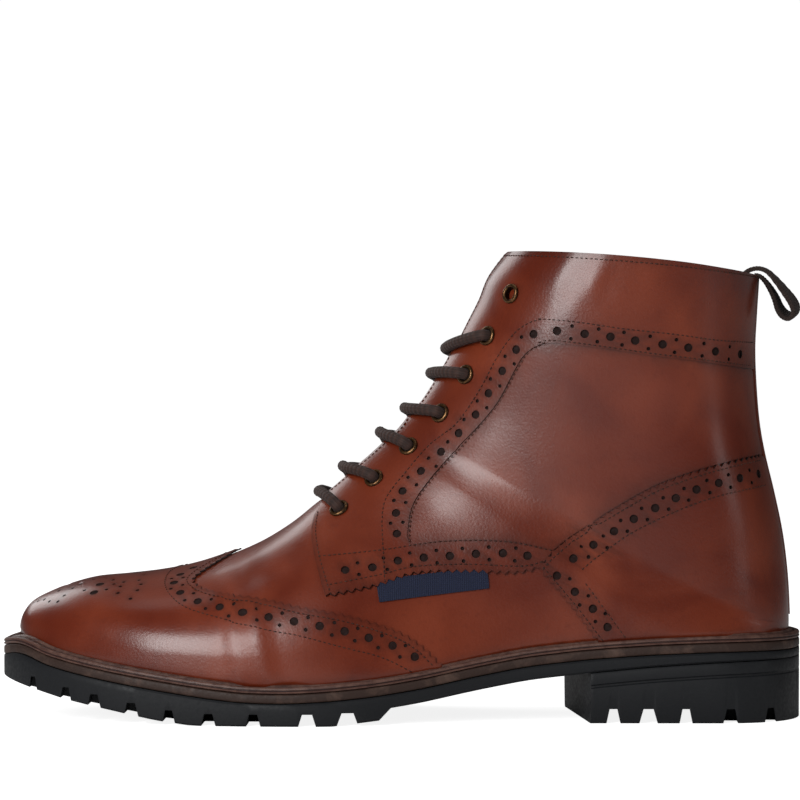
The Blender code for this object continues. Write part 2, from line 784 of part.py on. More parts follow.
def build_upper(parts, cutters):
    upper = shell("upper", -WALL, 0.0, parts, "cognac_leather")
    throat = front_band(THROAT_BACK, *THROAT_SPAN)
    half = len(throat) // 2
    outline = THROAT_FRONT + throat[:half] + THROAT_ABOVE
    outline += throat[half:] + THROAT_END
    slot = prism(
        "throat_slot",
        outline,
        -(THROAT_HALF + THROAT_CLEAR) + RIDGE_SWING,
        THROAT_HALF + THROAT_CLEAR + RIDGE_SWING,
        cutters,
    )
    facing_slot = prism("facing_slot", outline, -THROAT_HALF + RIDGE_SWING, THROAT_HALF + RIDGE_SWING, cutters)
    holes = hole_cutter("eyelet_holes", EYELET_BORE + EYELET_WALL + GAP, HOLE_REACH, cutters)
    welt_clear = prism("welt_clear", below_feather(), -CUTTER_HALF, CUTTER_HALF, cutters)
    cut(upper, welt_clear, "DIFFERENCE")
    cut(upper, slot, "DIFFERENCE")
    cut(upper, holes, "DIFFERENCE")

    wing = shell("wing_tip", GAP, GAP + OVERLAY, parts, "cognac_leather")
    wing_outline = list(WING_EDGE) + WING_BELOW
    cut(wing, prism("wing_cutter", wing_outline, -CUTTER_HALF, CUTTER_HALF, cutters), "INTERSECT")
    cut(wing, welt_clear, "DIFFERENCE")

    frame_outline = (
        list(reversed(FACING_LOW))
        + list(FACING_FRONT[1:])
        + FRAME_TOP
        + list(reversed(COLLAR_LOW))
        + list(reversed(BAND_BACK))
    )
    panel_outline = list(BAND_BACK) + list(COLLAR_LOW) + list(reversed(COUNTER_TOP[2:]))
    counter_outline = list(COUNTER_FRONT) + list(COUNTER_TOP[1:]) + COUNTER_BELOW
    for side_name, side in SIDES.items():
        low_y, high_y = sorted((side * STRIP_HALF + side * GAP, side * CUTTER_HALF))
        facing = shell("facing_" + side_name, GAP, GAP + FRAME_OVERLAY, parts, "cognac_leather")
        cut(facing, prism("facing_cutter_" + side_name, frame_outline, low_y, high_y, cutters), "INTERSECT")
        cut(facing, facing_slot, "DIFFERENCE")
        cut(facing, holes, "DIFFERENCE")
        panel = shell("quarter_" + side_name, GAP, GAP + OVERLAY, parts, "cognac_leather")
        cut(panel, prism("panel_cutter_" + side_name, inset(panel_outline, GAP), low_y, high_y, cutters), "INTERSECT")
        counter = shell("counter_" + side_name, GAP, GAP + FRAME_OVERLAY, parts, "cognac_leather")
        outline = inset(counter_outline, GAP)
        cut(counter, prism("counter_cutter_" + side_name, outline, low_y, high_y, cutters), "INTERSECT")
        cut(counter, welt_clear, "DIFFERENCE")

    strip = shell("back_strip", GAP, GAP + FRAME_OVERLAY, parts, "lace_cord")
    cut(strip, prism("strip_cutter", STRIP_OUTLINE, -STRIP_HALF, STRIP_HALF, cutters), "INTERSECT")
    cut(strip, welt_clear, "DIFFERENCE")

    low = -(WALL + GAP + TONGUE_THICK)
    tongue = shell("tongue", low, -(WALL + GAP), parts, "cognac_leather")
    tongue_outline = TONGUE_FRONT + front_band(TONGUE_BACK, *TONGUE_SPAN) + TONGUE_END
    tongue_cutter = prism(
        "tongue_cutter", tongue_outline, -TONGUE_HALF + RIDGE_SWING, TONGUE_HALF + RIDGE_SWING, cutters
    )
    cut(tongue, tongue_cutter, "INTERSECT")

    tab = shell("side_tab", GAP, GAP + TAB_THICK, parts, "navy_tape")
    cut(tab, prism("tab_cutter", TAB_OUTLINE, -CUTTER_HALF, 0.0, cutters), "INTERSECT")


def build_eyelets(parts):
    """Turned rings, each with a flange on the facing and a barrel down through the leather."""
    seat = GAP + FRAME_OVERLAY + SEAT_CLEAR
    barrel = EYELET_BORE + EYELET_WALL
    low = -(WALL - GAP)
    profile = (
        (barrel, seat),
        (EYELET_RADIUS, seat),
        (0.5 * (EYELET_RADIUS + EYELET_BORE), seat + EYELET_FLANGE),
        (EYELET_BORE, seat + 0.5 * EYELET_FLANGE),
        (EYELET_BORE, low),
        (barrel, low),
    )
    form = bmesh.new()
    loops = []
    for step in range(RING_SEGMENTS):
        turn = 2.0 * math.pi * step / RING_SEGMENTS
        loops.append([form.verts.new((r * math.cos(turn), r * math.sin(turn), z)) for r, z in profile])
    for step in range(RING_SEGMENTS):
        here, there = loops[step], loops[(step + 1) % RING_SEGMENTS]
        for i in range(len(profile)):
            j = (i + 1) % len(profile)
            form.faces.new((here[i], here[j], there[j], there[i]))
    bmesh.ops.recalc_face_normals(form, faces=form.faces)
    mesh = mesh_from("eyelet", form)
    for side_name, side in SIDES.items():
        for number, (along, up) in enumerate(EYELETS, 1):
            obj = add_object(f"eyelet_{side_name}_{number}", mesh, parts, "brass")
            row, height = surface_at(along, up, side)
            obj.location = upper_point(row, height, side)
            obj.rotation_mode = "QUATERNION"
            obj.rotation_quaternion = surface_normal(row, height, side).to_track_quat("Z", "Y")


def build_laces(parts):
    """A crossing over each pair of laced eyelets, in one piece with its two strands."""
    eyelet_lift = GAP + FRAME_OVERLAY + SEAT_CLEAR + EYELET_FLANGE + GAP + LACE_RADIUS
    edge_lift = 2.0 * GAP + FRAME_OVERLAY + LACE_RADIUS + 2.0 * GAP
    for number, (eyelet, crossing) in enumerate(zip(EYELETS, LACE_CROSSINGS), 1):
        points = []
        for side in (-1.0, 1.0):
            row, height = surface_at(*eyelet, side)
            ridge_row, _ = surface_at(*crossing, side)
            strand = []
            for step in range(STRAND_POINTS):
                part = step / STRAND_POINTS
                here_row = row + (ridge_row - row) * part
                here_height = height + (1.0 - height) * part
                lift = eyelet_lift + (edge_lift - eyelet_lift) * part
                normal = surface_normal(here_row, min(here_height, STRAND_TOP_HEIGHT), side)
                strand.append(upper_point(here_row, here_height, side) + normal * lift)
            if side > 0:
                strand.reverse()
            points += strand
            if side < 0:
                top = upper_point(ridge_row, 1.0, side)
                points.append(top + Vector((-0.75, 0.0, 0.66)) * edge_lift)
        curve = bpy.data.curves.new(f"lace_{number}", "CURVE")
        curve.dimensions = "3D"
        curve.bevel_depth = LACE_RADIUS
        curve.bevel_resolution = 2
        curve.use_fill_caps = True
        spline = curve.splines.new("POLY")
        spline.points.add(len(points) - 1)
        for place, point in zip(spline.points, points):
            place.co = (*point, 1.0)
        curve.materials.append(finish("lace_cord"))
        parts.objects.link(bpy.data.objects.new(f"lace_{number}", curve))


def build_loop(parts):
    prism("pull_loop", LOOP_OUTLINE, -0.5 * LOOP_WIDTH, 0.5 * LOOP_WIDTH, parts, "lace_cord", LOOP_EYE)


def main():
    clear_scene()
    parts = new_collection("brogue_boot")
    cutters = new_collection("cutters")
    build_sole(parts, cutters)
    build_insole(parts)
    build_upper(parts, cutters)
    build_eyelets(parts)
    build_laces(parts)
    build_loop(parts)


main()
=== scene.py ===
import math

import bmesh
import bpy
import numpy as np
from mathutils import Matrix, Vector
from mathutils.geometry import delaunay_2d_cdt
from mathutils.kdtree import KDTree


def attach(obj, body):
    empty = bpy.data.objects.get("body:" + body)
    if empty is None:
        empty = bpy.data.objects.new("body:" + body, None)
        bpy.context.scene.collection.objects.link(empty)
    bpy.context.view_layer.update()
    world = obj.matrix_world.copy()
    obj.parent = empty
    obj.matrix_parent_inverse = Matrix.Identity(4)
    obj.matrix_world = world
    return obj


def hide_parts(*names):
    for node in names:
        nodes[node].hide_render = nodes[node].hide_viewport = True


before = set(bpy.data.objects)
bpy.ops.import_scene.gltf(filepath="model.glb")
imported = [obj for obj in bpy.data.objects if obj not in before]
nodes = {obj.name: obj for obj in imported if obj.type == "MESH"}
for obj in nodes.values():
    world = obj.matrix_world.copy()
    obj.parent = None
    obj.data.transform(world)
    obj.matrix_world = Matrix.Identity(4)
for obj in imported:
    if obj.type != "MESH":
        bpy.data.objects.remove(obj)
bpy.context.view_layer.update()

view = bpy.context.scene.view_settings
view.view_transform = "Standard"

# Sizes of the boot, in metres. Toe towards -X, outer side towards -Y, floor at Z = 0.
boot = {"length": 0.310, "shaft": 0.179, "ball": 0.108, "toeSwing": 0.005, "ridgeSwing": 0.003, "weltMargin": 0.0045,
        "collarRise": 0.0022, "toeRound": 0.27, "heelRound": 0.13, "roundPower": 2.2, "backPower": 3.0,
        "featherStart": 0.024, "featherEnd": 0.981, "cornerRow": 22, "throatHalf": 0.008, "throatMiddle": 0.003}

# Half widths of the sole: share of the length, outer side, inner side
soleOutline = np.array([
    (0, .440, .440), (.12, .460, .470), (.22, .475, .490), (.33, .505, .490), (.42, .500, .455), (.52, .440, .385),
    (.62, .385, .345), (.72, .365, .335), (.82, .360, .345), (.92, .355, .350), (1, .350, .350)])

# Sections that fan out from the toe to the collar: low point, top point, half widths, height of the crest, fullness
lastRows = np.array([
    (.024, .181, .025, .200, 0, 0, .30, 2.4), (.027, .179, .030, .220, 0, 0, .30, 2.4),
    (.035, .174, .040, .240, 0, 0, .28, 2.4), (.049, .160, .058, .257, 0, 0, .26, 2.4),
    (.072, .149, .084, .275, 0, 0, .25, 2.4), (.105, .137, .118, .291, 0, 0, .24, 2.4),
    (.149, .123, .158, .298, 0, 0, .22, 2.3), (.200, .109, .201, .307, 0, 0, .20, 2.2),
    (.255, .095, .244, .322, 0, 0, .20, 2.1), (.310, .084, .286, .346, .460, .445, .20, 2.0),
    (.364, .082, .327, .377, .455, .435, .20, 2.0), (.418, .087, .362, .414, .445, .415, .22, 1.9),
    (.473, .096, .389, .451, .415, .380, .25, 1.9), (.527, .110, .412, .485, .385, .352, .28, 1.9),
    (.589, .133, .431, .516, .355, .335, .30, 1.9), (.662, .157, .447, .543, .335, .322, .33, 2.0),
    (.736, .171, .463, .568, .325, .318, .36, 2.0), (.809, .180, .477, .590, .320, .318, .39, 2.1),
    (.877, .185, .489, .608, .320, .320, .42, 2.1), (.927, .187, .497, .621, .322, .322, .44, 2.2),
    (.957, .187, .502, .630, .324, .324, .45, 2.2), (.973, .187, .506, .637, .325, .325, .46, 2.2),
    (.981, .187, .509, .643, .326, .326, .47, 2.2), (.981, .248, .514, .651, .328, .328, .47, 2.2),
    (.978, .324, .520, .664, .330, .330, .47, 2.2), (.972, .401, .530, .683, .332, .332, .47, 2.2),
    (.962, .483, .541, .711, .336, .336, .47, 2.2), (.951, .562, .553, .744, .342, .342, .48, 2.2),
    (.944, .629, .565, .779, .350, .350, .49, 2.2), (.940, .705, .577, .813, .360, .360, .50, 2.2),
    (.938, .792, .589, .853, .368, .368, .50, 2.2), (.940, .868, .602, .897, .374, .374, .50, 2.2),
    (.942, .923, .614, .947, .378, .378, .50, 2.2), (.943, .953, .637, 1.000, .380, .380, .50, 2.2)])
lastRow = len(lastRows) - 1


def smoothTable(table, x):
    # Smooth curve through a table whose first column is x
    place = np.interp(np.atleast_1d(np.asarray(x, float)), table[:, 0], np.arange(len(table)))
    i = np.clip(place.astype(int), 0, len(table) - 2)
    t = (place - i)[:, None]
    before, first, second, after = (table[np.clip(i + k, 0, len(table) - 1), 1:] for k in (-1, 0, 1, 2))
    slope, nextSlope, rise = 0.5 * (second - before), 0.5 * (after - first), second - first
    return (first + slope * t + (3 * rise - 2 * slope - nextSlope) * t**2
            + (slope + nextSlope - 2 * rise) * t**3)


rowTable = np.column_stack([np.arange(lastRow + 1), lastRows])


def outlineHalf(share, side):
    share = np.atleast_1d(np.asarray(share, float))
    width = smoothTable(soleOutline, share)[:, 0 if side < 0 else 1] * boot["ball"]
    toe = np.clip((boot["toeRound"] - share) / boot["toeRound"], 0, 1)
    heel = np.clip((share - 1 + boot["heelRound"]) / boot["heelRound"], 0, 1)
    return width * np.sqrt(1 - toe ** boot["roundPower"]) * np.sqrt(1 - heel ** boot["backPower"])


def featherHalf(share, side):
    inner = (np.asarray(share, float) - boot["featherStart"]) / (boot["featherEnd"] - boot["featherStart"])
    return outlineHalf(np.clip(inner, 0, 1), side) * (1 - 2 * boot["weltMargin"] / boot["ball"])


def swing(share):
    return boot["toeSwing"] * np.maximum(0, 1 - np.asarray(share, float) / 0.45) ** 2


def lastPoint(row, column):
    # Row 0 is the toe and the last row the collar. Column -1 is the outer low edge, 0 the ridge, 1 the inner low edge.
    row, column = np.broadcast_arrays(np.asarray(row, float).ravel(), np.asarray(column, float).ravel())
    lowX, lowZ, topX, topZ, outer, inner, crest, full = smoothTable(rowTable, row).T
    height = 0.5 - 0.5 * np.cos(np.pi * (1 - np.abs(column)))
    onSole = row < boot["cornerRow"]
    outerFeather, innerFeather = featherHalf(lowX, -1), featherHalf(lowX, 1)
    feather = np.where(onSole, np.where(column < 0, outerFeather, innerFeather), 0)
    widest = np.maximum(feather * 1.02, np.where(column < 0, outer, inner) * boot["ball"])
    below = feather + (widest - feather) * np.sqrt(np.clip(1 - np.clip(1 - height / crest, 0, 1) ** 3, 0, 1))
    above = widest * np.sqrt(np.clip(1 - np.clip((height - crest) / (1 - crest), 0, 1) ** full, 0, 1))
    half = np.where(height < crest, below, above)
    turn = boot["ridgeSwing"] * np.sin(np.pi * np.clip(row / boot["cornerRow"], 0, 1))
    middle = swing(lowX) * (1 - height) + (swing(topX) + turn) * height
    x = (lowX + (topX - lowX) * height - 0.5) * boot["length"]
    z = (lowZ + (topZ - lowZ) * height) * boot["shaft"]
    z = z + boot["collarRise"] * np.maximum(0, row - lastRow + 1) * 4 * height * (1 - height)
    return np.column_stack([x, middle + np.sign(column) * half, z])


# Creases in the leather: side, two ends as shares of length and height, depth and half width in millimetres
creaseLines = [
    (-1, (.735, .985), (.705, .900), .35, 3.2), (-1, (.775, .965), (.755, .900), .28, 2.8),
    (-1, (.700, .720), (.860, .650), .12, 6.5), (-1, (.690, .640), (.800, .570), .10, 6.0),
    (-1, (.335, .330), (.395, .215), .07, 5.0), (-1, (.370, .360), (.440, .235), .06, 5.0),
    (1, (.730, .985), (.700, .900), .35, 3.2), (1, (.700, .700), (.860, .630), .14, 6.5),
    (1, (.340, .340), (.400, .215), .08, 5.0), (1, (.380, .370), (.450, .230), .07, 5.0)]


def creaseLift(points, side):
    # Soft trough along each line with a low ridge on either side of it
    lift = np.zeros(len(points))
    place = np.column_stack([points[:, 0], points[:, 2]])
    for lineSide, start, end, depth, width in creaseLines:
        a = np.array([(start[0] - .5) * boot["length"], start[1] * boot["shaft"]])
        b = np.array([(end[0] - .5) * boot["length"], end[1] * boot["shaft"]])
        along = np.clip(((place - a) @ (b - a)) / ((b - a) @ (b - a)), 0, 1)
        away = np.linalg.norm(place - a - along[:, None] * (b - a), axis=1) / (width * .001)
        shape = -np.exp(-away**2) + .45 * np.exp(-((away - 1.9) / .9) ** 2)
        lift += depth * .001 * shape * (side * lineSide > 0) * (.35 + .65 * np.sin(np.pi * along))
    return lift


def normalAt(row, column):
    row, column = np.broadcast_arrays(np.asarray(row, float).ravel(), np.asarray(column, float).ravel())
    heelCorner = np.exp(-((row - boot["cornerRow"]) / 2.2) ** 2) * np.clip(np.abs(column) * 5, 0, 1)
    acrossStep, alongStep = .006 + .02 * heelCorner, .03 + 2.4 * heelCorner
    safe = np.clip(row, .06, lastRow - .02)
    across = (lastPoint(safe, np.clip(column + acrossStep, -1, 1)) - lastPoint(safe, np.clip(column - acrossStep, -1, 1)))
    along = lastPoint(safe + alongStep * .5, column) - lastPoint(safe - alongStep * .5, column)
    normal = np.cross(along, across)
    return normal / np.maximum(np.linalg.norm(normal, axis=1, keepdims=True), 1e-12)


outwardSign = -np.sign(normalAt(10, -.5)[0, 1])


def onBoot(places, lift):
    # Points at a height over the last's surface. At the toe tip and back seam both sides share one direction.
    places = np.atleast_2d(np.asarray(places, float))
    row, column = places[:, 0], places[:, 1]
    normal = normalAt(row, column) * outwardSign
    mirrored = normalAt(row, -column) * outwardSign
    atSeam = (np.abs(column) > .999) & (row > boot["cornerRow"])
    shared = (row < .02) | atSeam
    normal[shared] += mirrored[shared]
    normal /= np.maximum(np.linalg.norm(normal, axis=1, keepdims=True), 1e-12)
    point = lastPoint(row, column)
    side = np.where(column < 0, -1, 1)
    return point + normal * (np.asarray(lift, float).reshape(-1, 1) + creaseLift(point, side)[:, None]), normal


# Flat map of the surface, in metres, for cutting out panels
mapRows = np.linspace(0, lastRow, 661)
mapSteps = np.linalg.norm(np.diff(lastPoint(mapRows, -.5), axis=0), axis=1)
mapLength = np.concatenate([[0], np.cumsum(mapSteps)])
mapHalf = .080


def toFlat(places):
    places = np.atleast_2d(places)
    return np.column_stack([np.interp(places[:, 0], mapRows, mapLength), places[:, 1] * mapHalf])


def fromFlat(flat):
    flat = np.atleast_2d(flat)
    return np.column_stack([np.interp(flat[:, 0], mapLength, mapRows), np.clip(flat[:, 1] / mapHalf, -1, 1)])


gridRows, gridTurns = np.meshgrid(np.linspace(0, lastRow, 661), np.linspace(0, 1, 121), indexing="ij")
gridPlaces = np.column_stack([gridRows.ravel(), gridTurns.ravel() - 1])
gridPoints = lastPoint(gridPlaces[:, 0], gridPlaces[:, 1])


def locate(shares, side):
    # Row and column of points given as shares of the length and of the shaft's height
    shares = np.atleast_2d(np.asarray(shares, float))
    goal = np.column_stack([(shares[:, 0] - .5) * boot["length"], shares[:, 1] * boot["shaft"]])
    found = []
    for point in goal:
        away = (gridPoints[:, 0] - point[0]) ** 2 + (gridPoints[:, 2] - point[1]) ** 2
        found.append(gridPlaces[away.argmin()])
    found = np.array(found)
    for _ in range(4):
        here = lastPoint(found[:, 0], found[:, 1])[:, (0, 2)]
        byRow = (lastPoint(np.clip(found[:, 0] + .01, 0, lastRow), found[:, 1])[:, (0, 2)] - here) / .01
        byColumn = (lastPoint(found[:, 0], np.clip(found[:, 1] + .002, -1, 0))[:, (0, 2)] - here) / .002
        det = byRow[:, 0] * byColumn[:, 1] - byRow[:, 1] * byColumn[:, 0]
        off = goal - here
        good = np.abs(det) > 1e-7
        det = np.where(good, det, 1)
        rowStep = (off[:, 0] * byColumn[:, 1] - off[:, 1] * byColumn[:, 0]) / det
        columnStep = (byRow[:, 0] * off[:, 1] - byRow[:, 1] * off[:, 0]) / det
        found[:, 0] = np.clip(found[:, 0] + np.where(good, np.clip(rowStep, -.05, .05), 0), 0, lastRow)
        found[:, 1] = np.clip(found[:, 1] + np.where(good, np.clip(columnStep, -.01, .01), 0), -1, 0)
    found[:, 1] *= -side
    return found


def shiftPlaces(places, offset):
    # Moves places by small steps given in metres
    step = 1e-4
    flat = toFlat(places)
    here = lastPoint(*fromFlat(flat).T)
    alongAxis = (lastPoint(*fromFlat(flat + (step, 0)).T) - here) / step
    acrossAxis = (lastPoint(*fromFlat(flat + (0, step)).T) - here) / step
    aa, ab, bb = (alongAxis**2).sum(1), (alongAxis * acrossAxis).sum(1), (acrossAxis**2).sum(1)
    da, db = (offset * alongAxis).sum(1), (offset * acrossAxis).sum(1)
    det = np.maximum(aa * bb - ab * ab, 1e-6)
    move = np.column_stack([(da * bb - db * ab) / det, (db * aa - da * ab) / det])
    return fromFlat(flat + np.clip(move, -.012, .012))


def resample(places, spacing, closed=False):
    # Even spacing along the surface
    places = np.asarray(places, float)
    if closed:
        places = np.vstack([places, places[:1]])
    fine = np.column_stack([np.interp(np.linspace(0, len(places) - 1, (len(places) - 1) * 12 + 1),
                                      np.arange(len(places)), places[:, i]) for i in (0, 1)])
    points = lastPoint(fine[:, 0], fine[:, 1])
    run = np.concatenate([[0], np.cumsum(np.linalg.norm(np.diff(points, axis=0), axis=1))])
    count = max(2, int(round(run[-1] / spacing)) + 1)
    even = np.linspace(0, run[-1], count)
    return np.column_stack([np.interp(even, run, fine[:, i]) for i in (0, 1)])


def rounded(shares, count=10):
    # Smooth curve through a list of shares
    table = np.column_stack([np.arange(len(shares)), shares])
    return smoothTable(table, np.linspace(0, len(shares) - 1, (len(shares) - 1) * count + 1))


def pathOn(shares, side, spacing=.0015):
    return resample(locate(rounded(shares, 5), side), spacing)


def sideways(places):
    # Unit direction across a path, on the surface
    points = lastPoint(places[:, 0], places[:, 1])
    run = np.gradient(points, axis=0)
    across = np.cross(normalAt(places[:, 0], places[:, 1]) * outwardSign, run)
    return across / np.maximum(np.linalg.norm(across, axis=1, keepdims=True), 1e-12)


def parallel(places, distance):
    return shiftPlaces(places, sideways(places) * distance)


pinking = {"pitch": .0033, "depth": .0014}


def pinked(shares, side):
    # Saw teeth along a cut edge
    places = resample(locate(rounded(shares, 5), side), pinking["pitch"] / 2)
    wave = np.where(np.arange(len(places)) % 2 == 0, -.5, .5) * pinking["depth"]
    wave[0] = wave[-1] = 0
    return shiftPlaces(places, sideways(places) * wave[:, None])


def insideOutline(points, outline):
    inside = np.zeros(len(points), bool)
    ax, ay = outline[:, 0], outline[:, 1]
    bx, by = np.roll(ax, -1), np.roll(ay, -1)
    for start in range(0, len(points), 2000):
        px, py = points[start:start + 2000, 0][:, None], points[start:start + 2000, 1][:, None]
        crosses = (ay > py) != (by > py)
        at = (bx - ax) * (py - ay) / np.where(by == ay, 1e-12, by - ay) + ax
        inside[start:start + 2000] = ((px < at) & crosses).sum(1) % 2 == 1
    return inside


def nearest(points, others):
    tree = KDTree(len(others))
    for index, other in enumerate(others):
        tree.insert(other, index)
    tree.balance()
    return np.array([tree.find(point)[2] for point in points])


def makeObject(name, verts, faces, materials, faceMaterial=None, edgeShade=None, sharp=40, merge=1e-6):
    mesh = bpy.data.meshes.new(name)
    mesh.from_pydata([tuple(v) for v in verts], [], [tuple(int(i) for i in f) for f in faces])
    for material in materials:
        mesh.materials.append(material)
    if faceMaterial is not None:
        mesh.polygons.foreach_set("material_index", np.asarray(faceMaterial, np.int32))
    if edgeShade is not None:
        layer = mesh.attributes.new("edgeShade", "FLOAT", "POINT")
        layer.data.foreach_set("value", np.asarray(edgeShade, np.float32))
    mesh.polygons.foreach_set("use_smooth", np.ones(len(mesh.polygons), bool))
    mesh.validate()
    mesh.update()
    if sharp:
        mesh.set_sharp_from_angle(angle=math.radians(sharp))
    piece = bpy.data.objects.new(name, mesh)
    bpy.context.scene.collection.objects.link(piece)
    return piece


def trueNormals(places, lift, outer):
    # Directions of the creased surface, so that light runs smoothly over a panel's triangles
    rows, columns = places[:, 0], places[:, 1]
    heelCorner = np.exp(-((rows - boot["cornerRow"]) / 3.4) ** 2) * np.clip(np.abs(columns) * 5, 0, 1)
    rowStep, columnStep = .02 + np.clip(rows * .2, 0, .45) + 2.4 * heelCorner, .006 + .03 * heelCorner
    low = np.clip(rows - rowStep, .06, lastRow - .04 - 2 * rowStep)
    left = np.clip(columns - columnStep, -1, 1 - 2 * columnStep)
    byRow = (onBoot(np.column_stack([low + 2 * rowStep, columns]), lift)[0]
             - onBoot(np.column_stack([low, columns]), lift)[0])
    safe = np.clip(rows, .06, lastRow - .02)
    byColumn = (onBoot(np.column_stack([safe, left + 2 * columnStep]), lift)[0]
                - onBoot(np.column_stack([safe, left]), lift)[0])
    normal = np.cross(byRow, byColumn) * outwardSign
    normal /= np.maximum(np.linalg.norm(normal, axis=1, keepdims=True), 1e-12)
    wrong = (normal * outer).sum(1) < .5
    normal[wrong] = outer[wrong]
    return normal


def setLoopNormals(piece, normals, kinds):
    # Outer and inner skins take the surface's own direction and the rim keeps its faces'
    mesh = piece.data
    loops = np.empty(len(mesh.loops), np.int32)
    mesh.loops.foreach_get("vertex_index", loops)
    perLoop = normals[loops].copy()
    start = 0
    for polygon in mesh.polygons:
        if kinds[polygon.index] == 1:
            perLoop[start:start + polygon.loop_total] = polygon.normal
        start += polygon.loop_total
    mesh.normals_split_custom_set([tuple(n) for n in perLoop])


def weldSeams(verts, within=2e-5):
    # One index for points that lie on each other
    keys = np.round(np.asarray(verts) / within).astype(np.int64)
    _, first, index = np.unique(keys, axis=0, return_index=True, return_inverse=True)
    return first, index.reshape(-1)


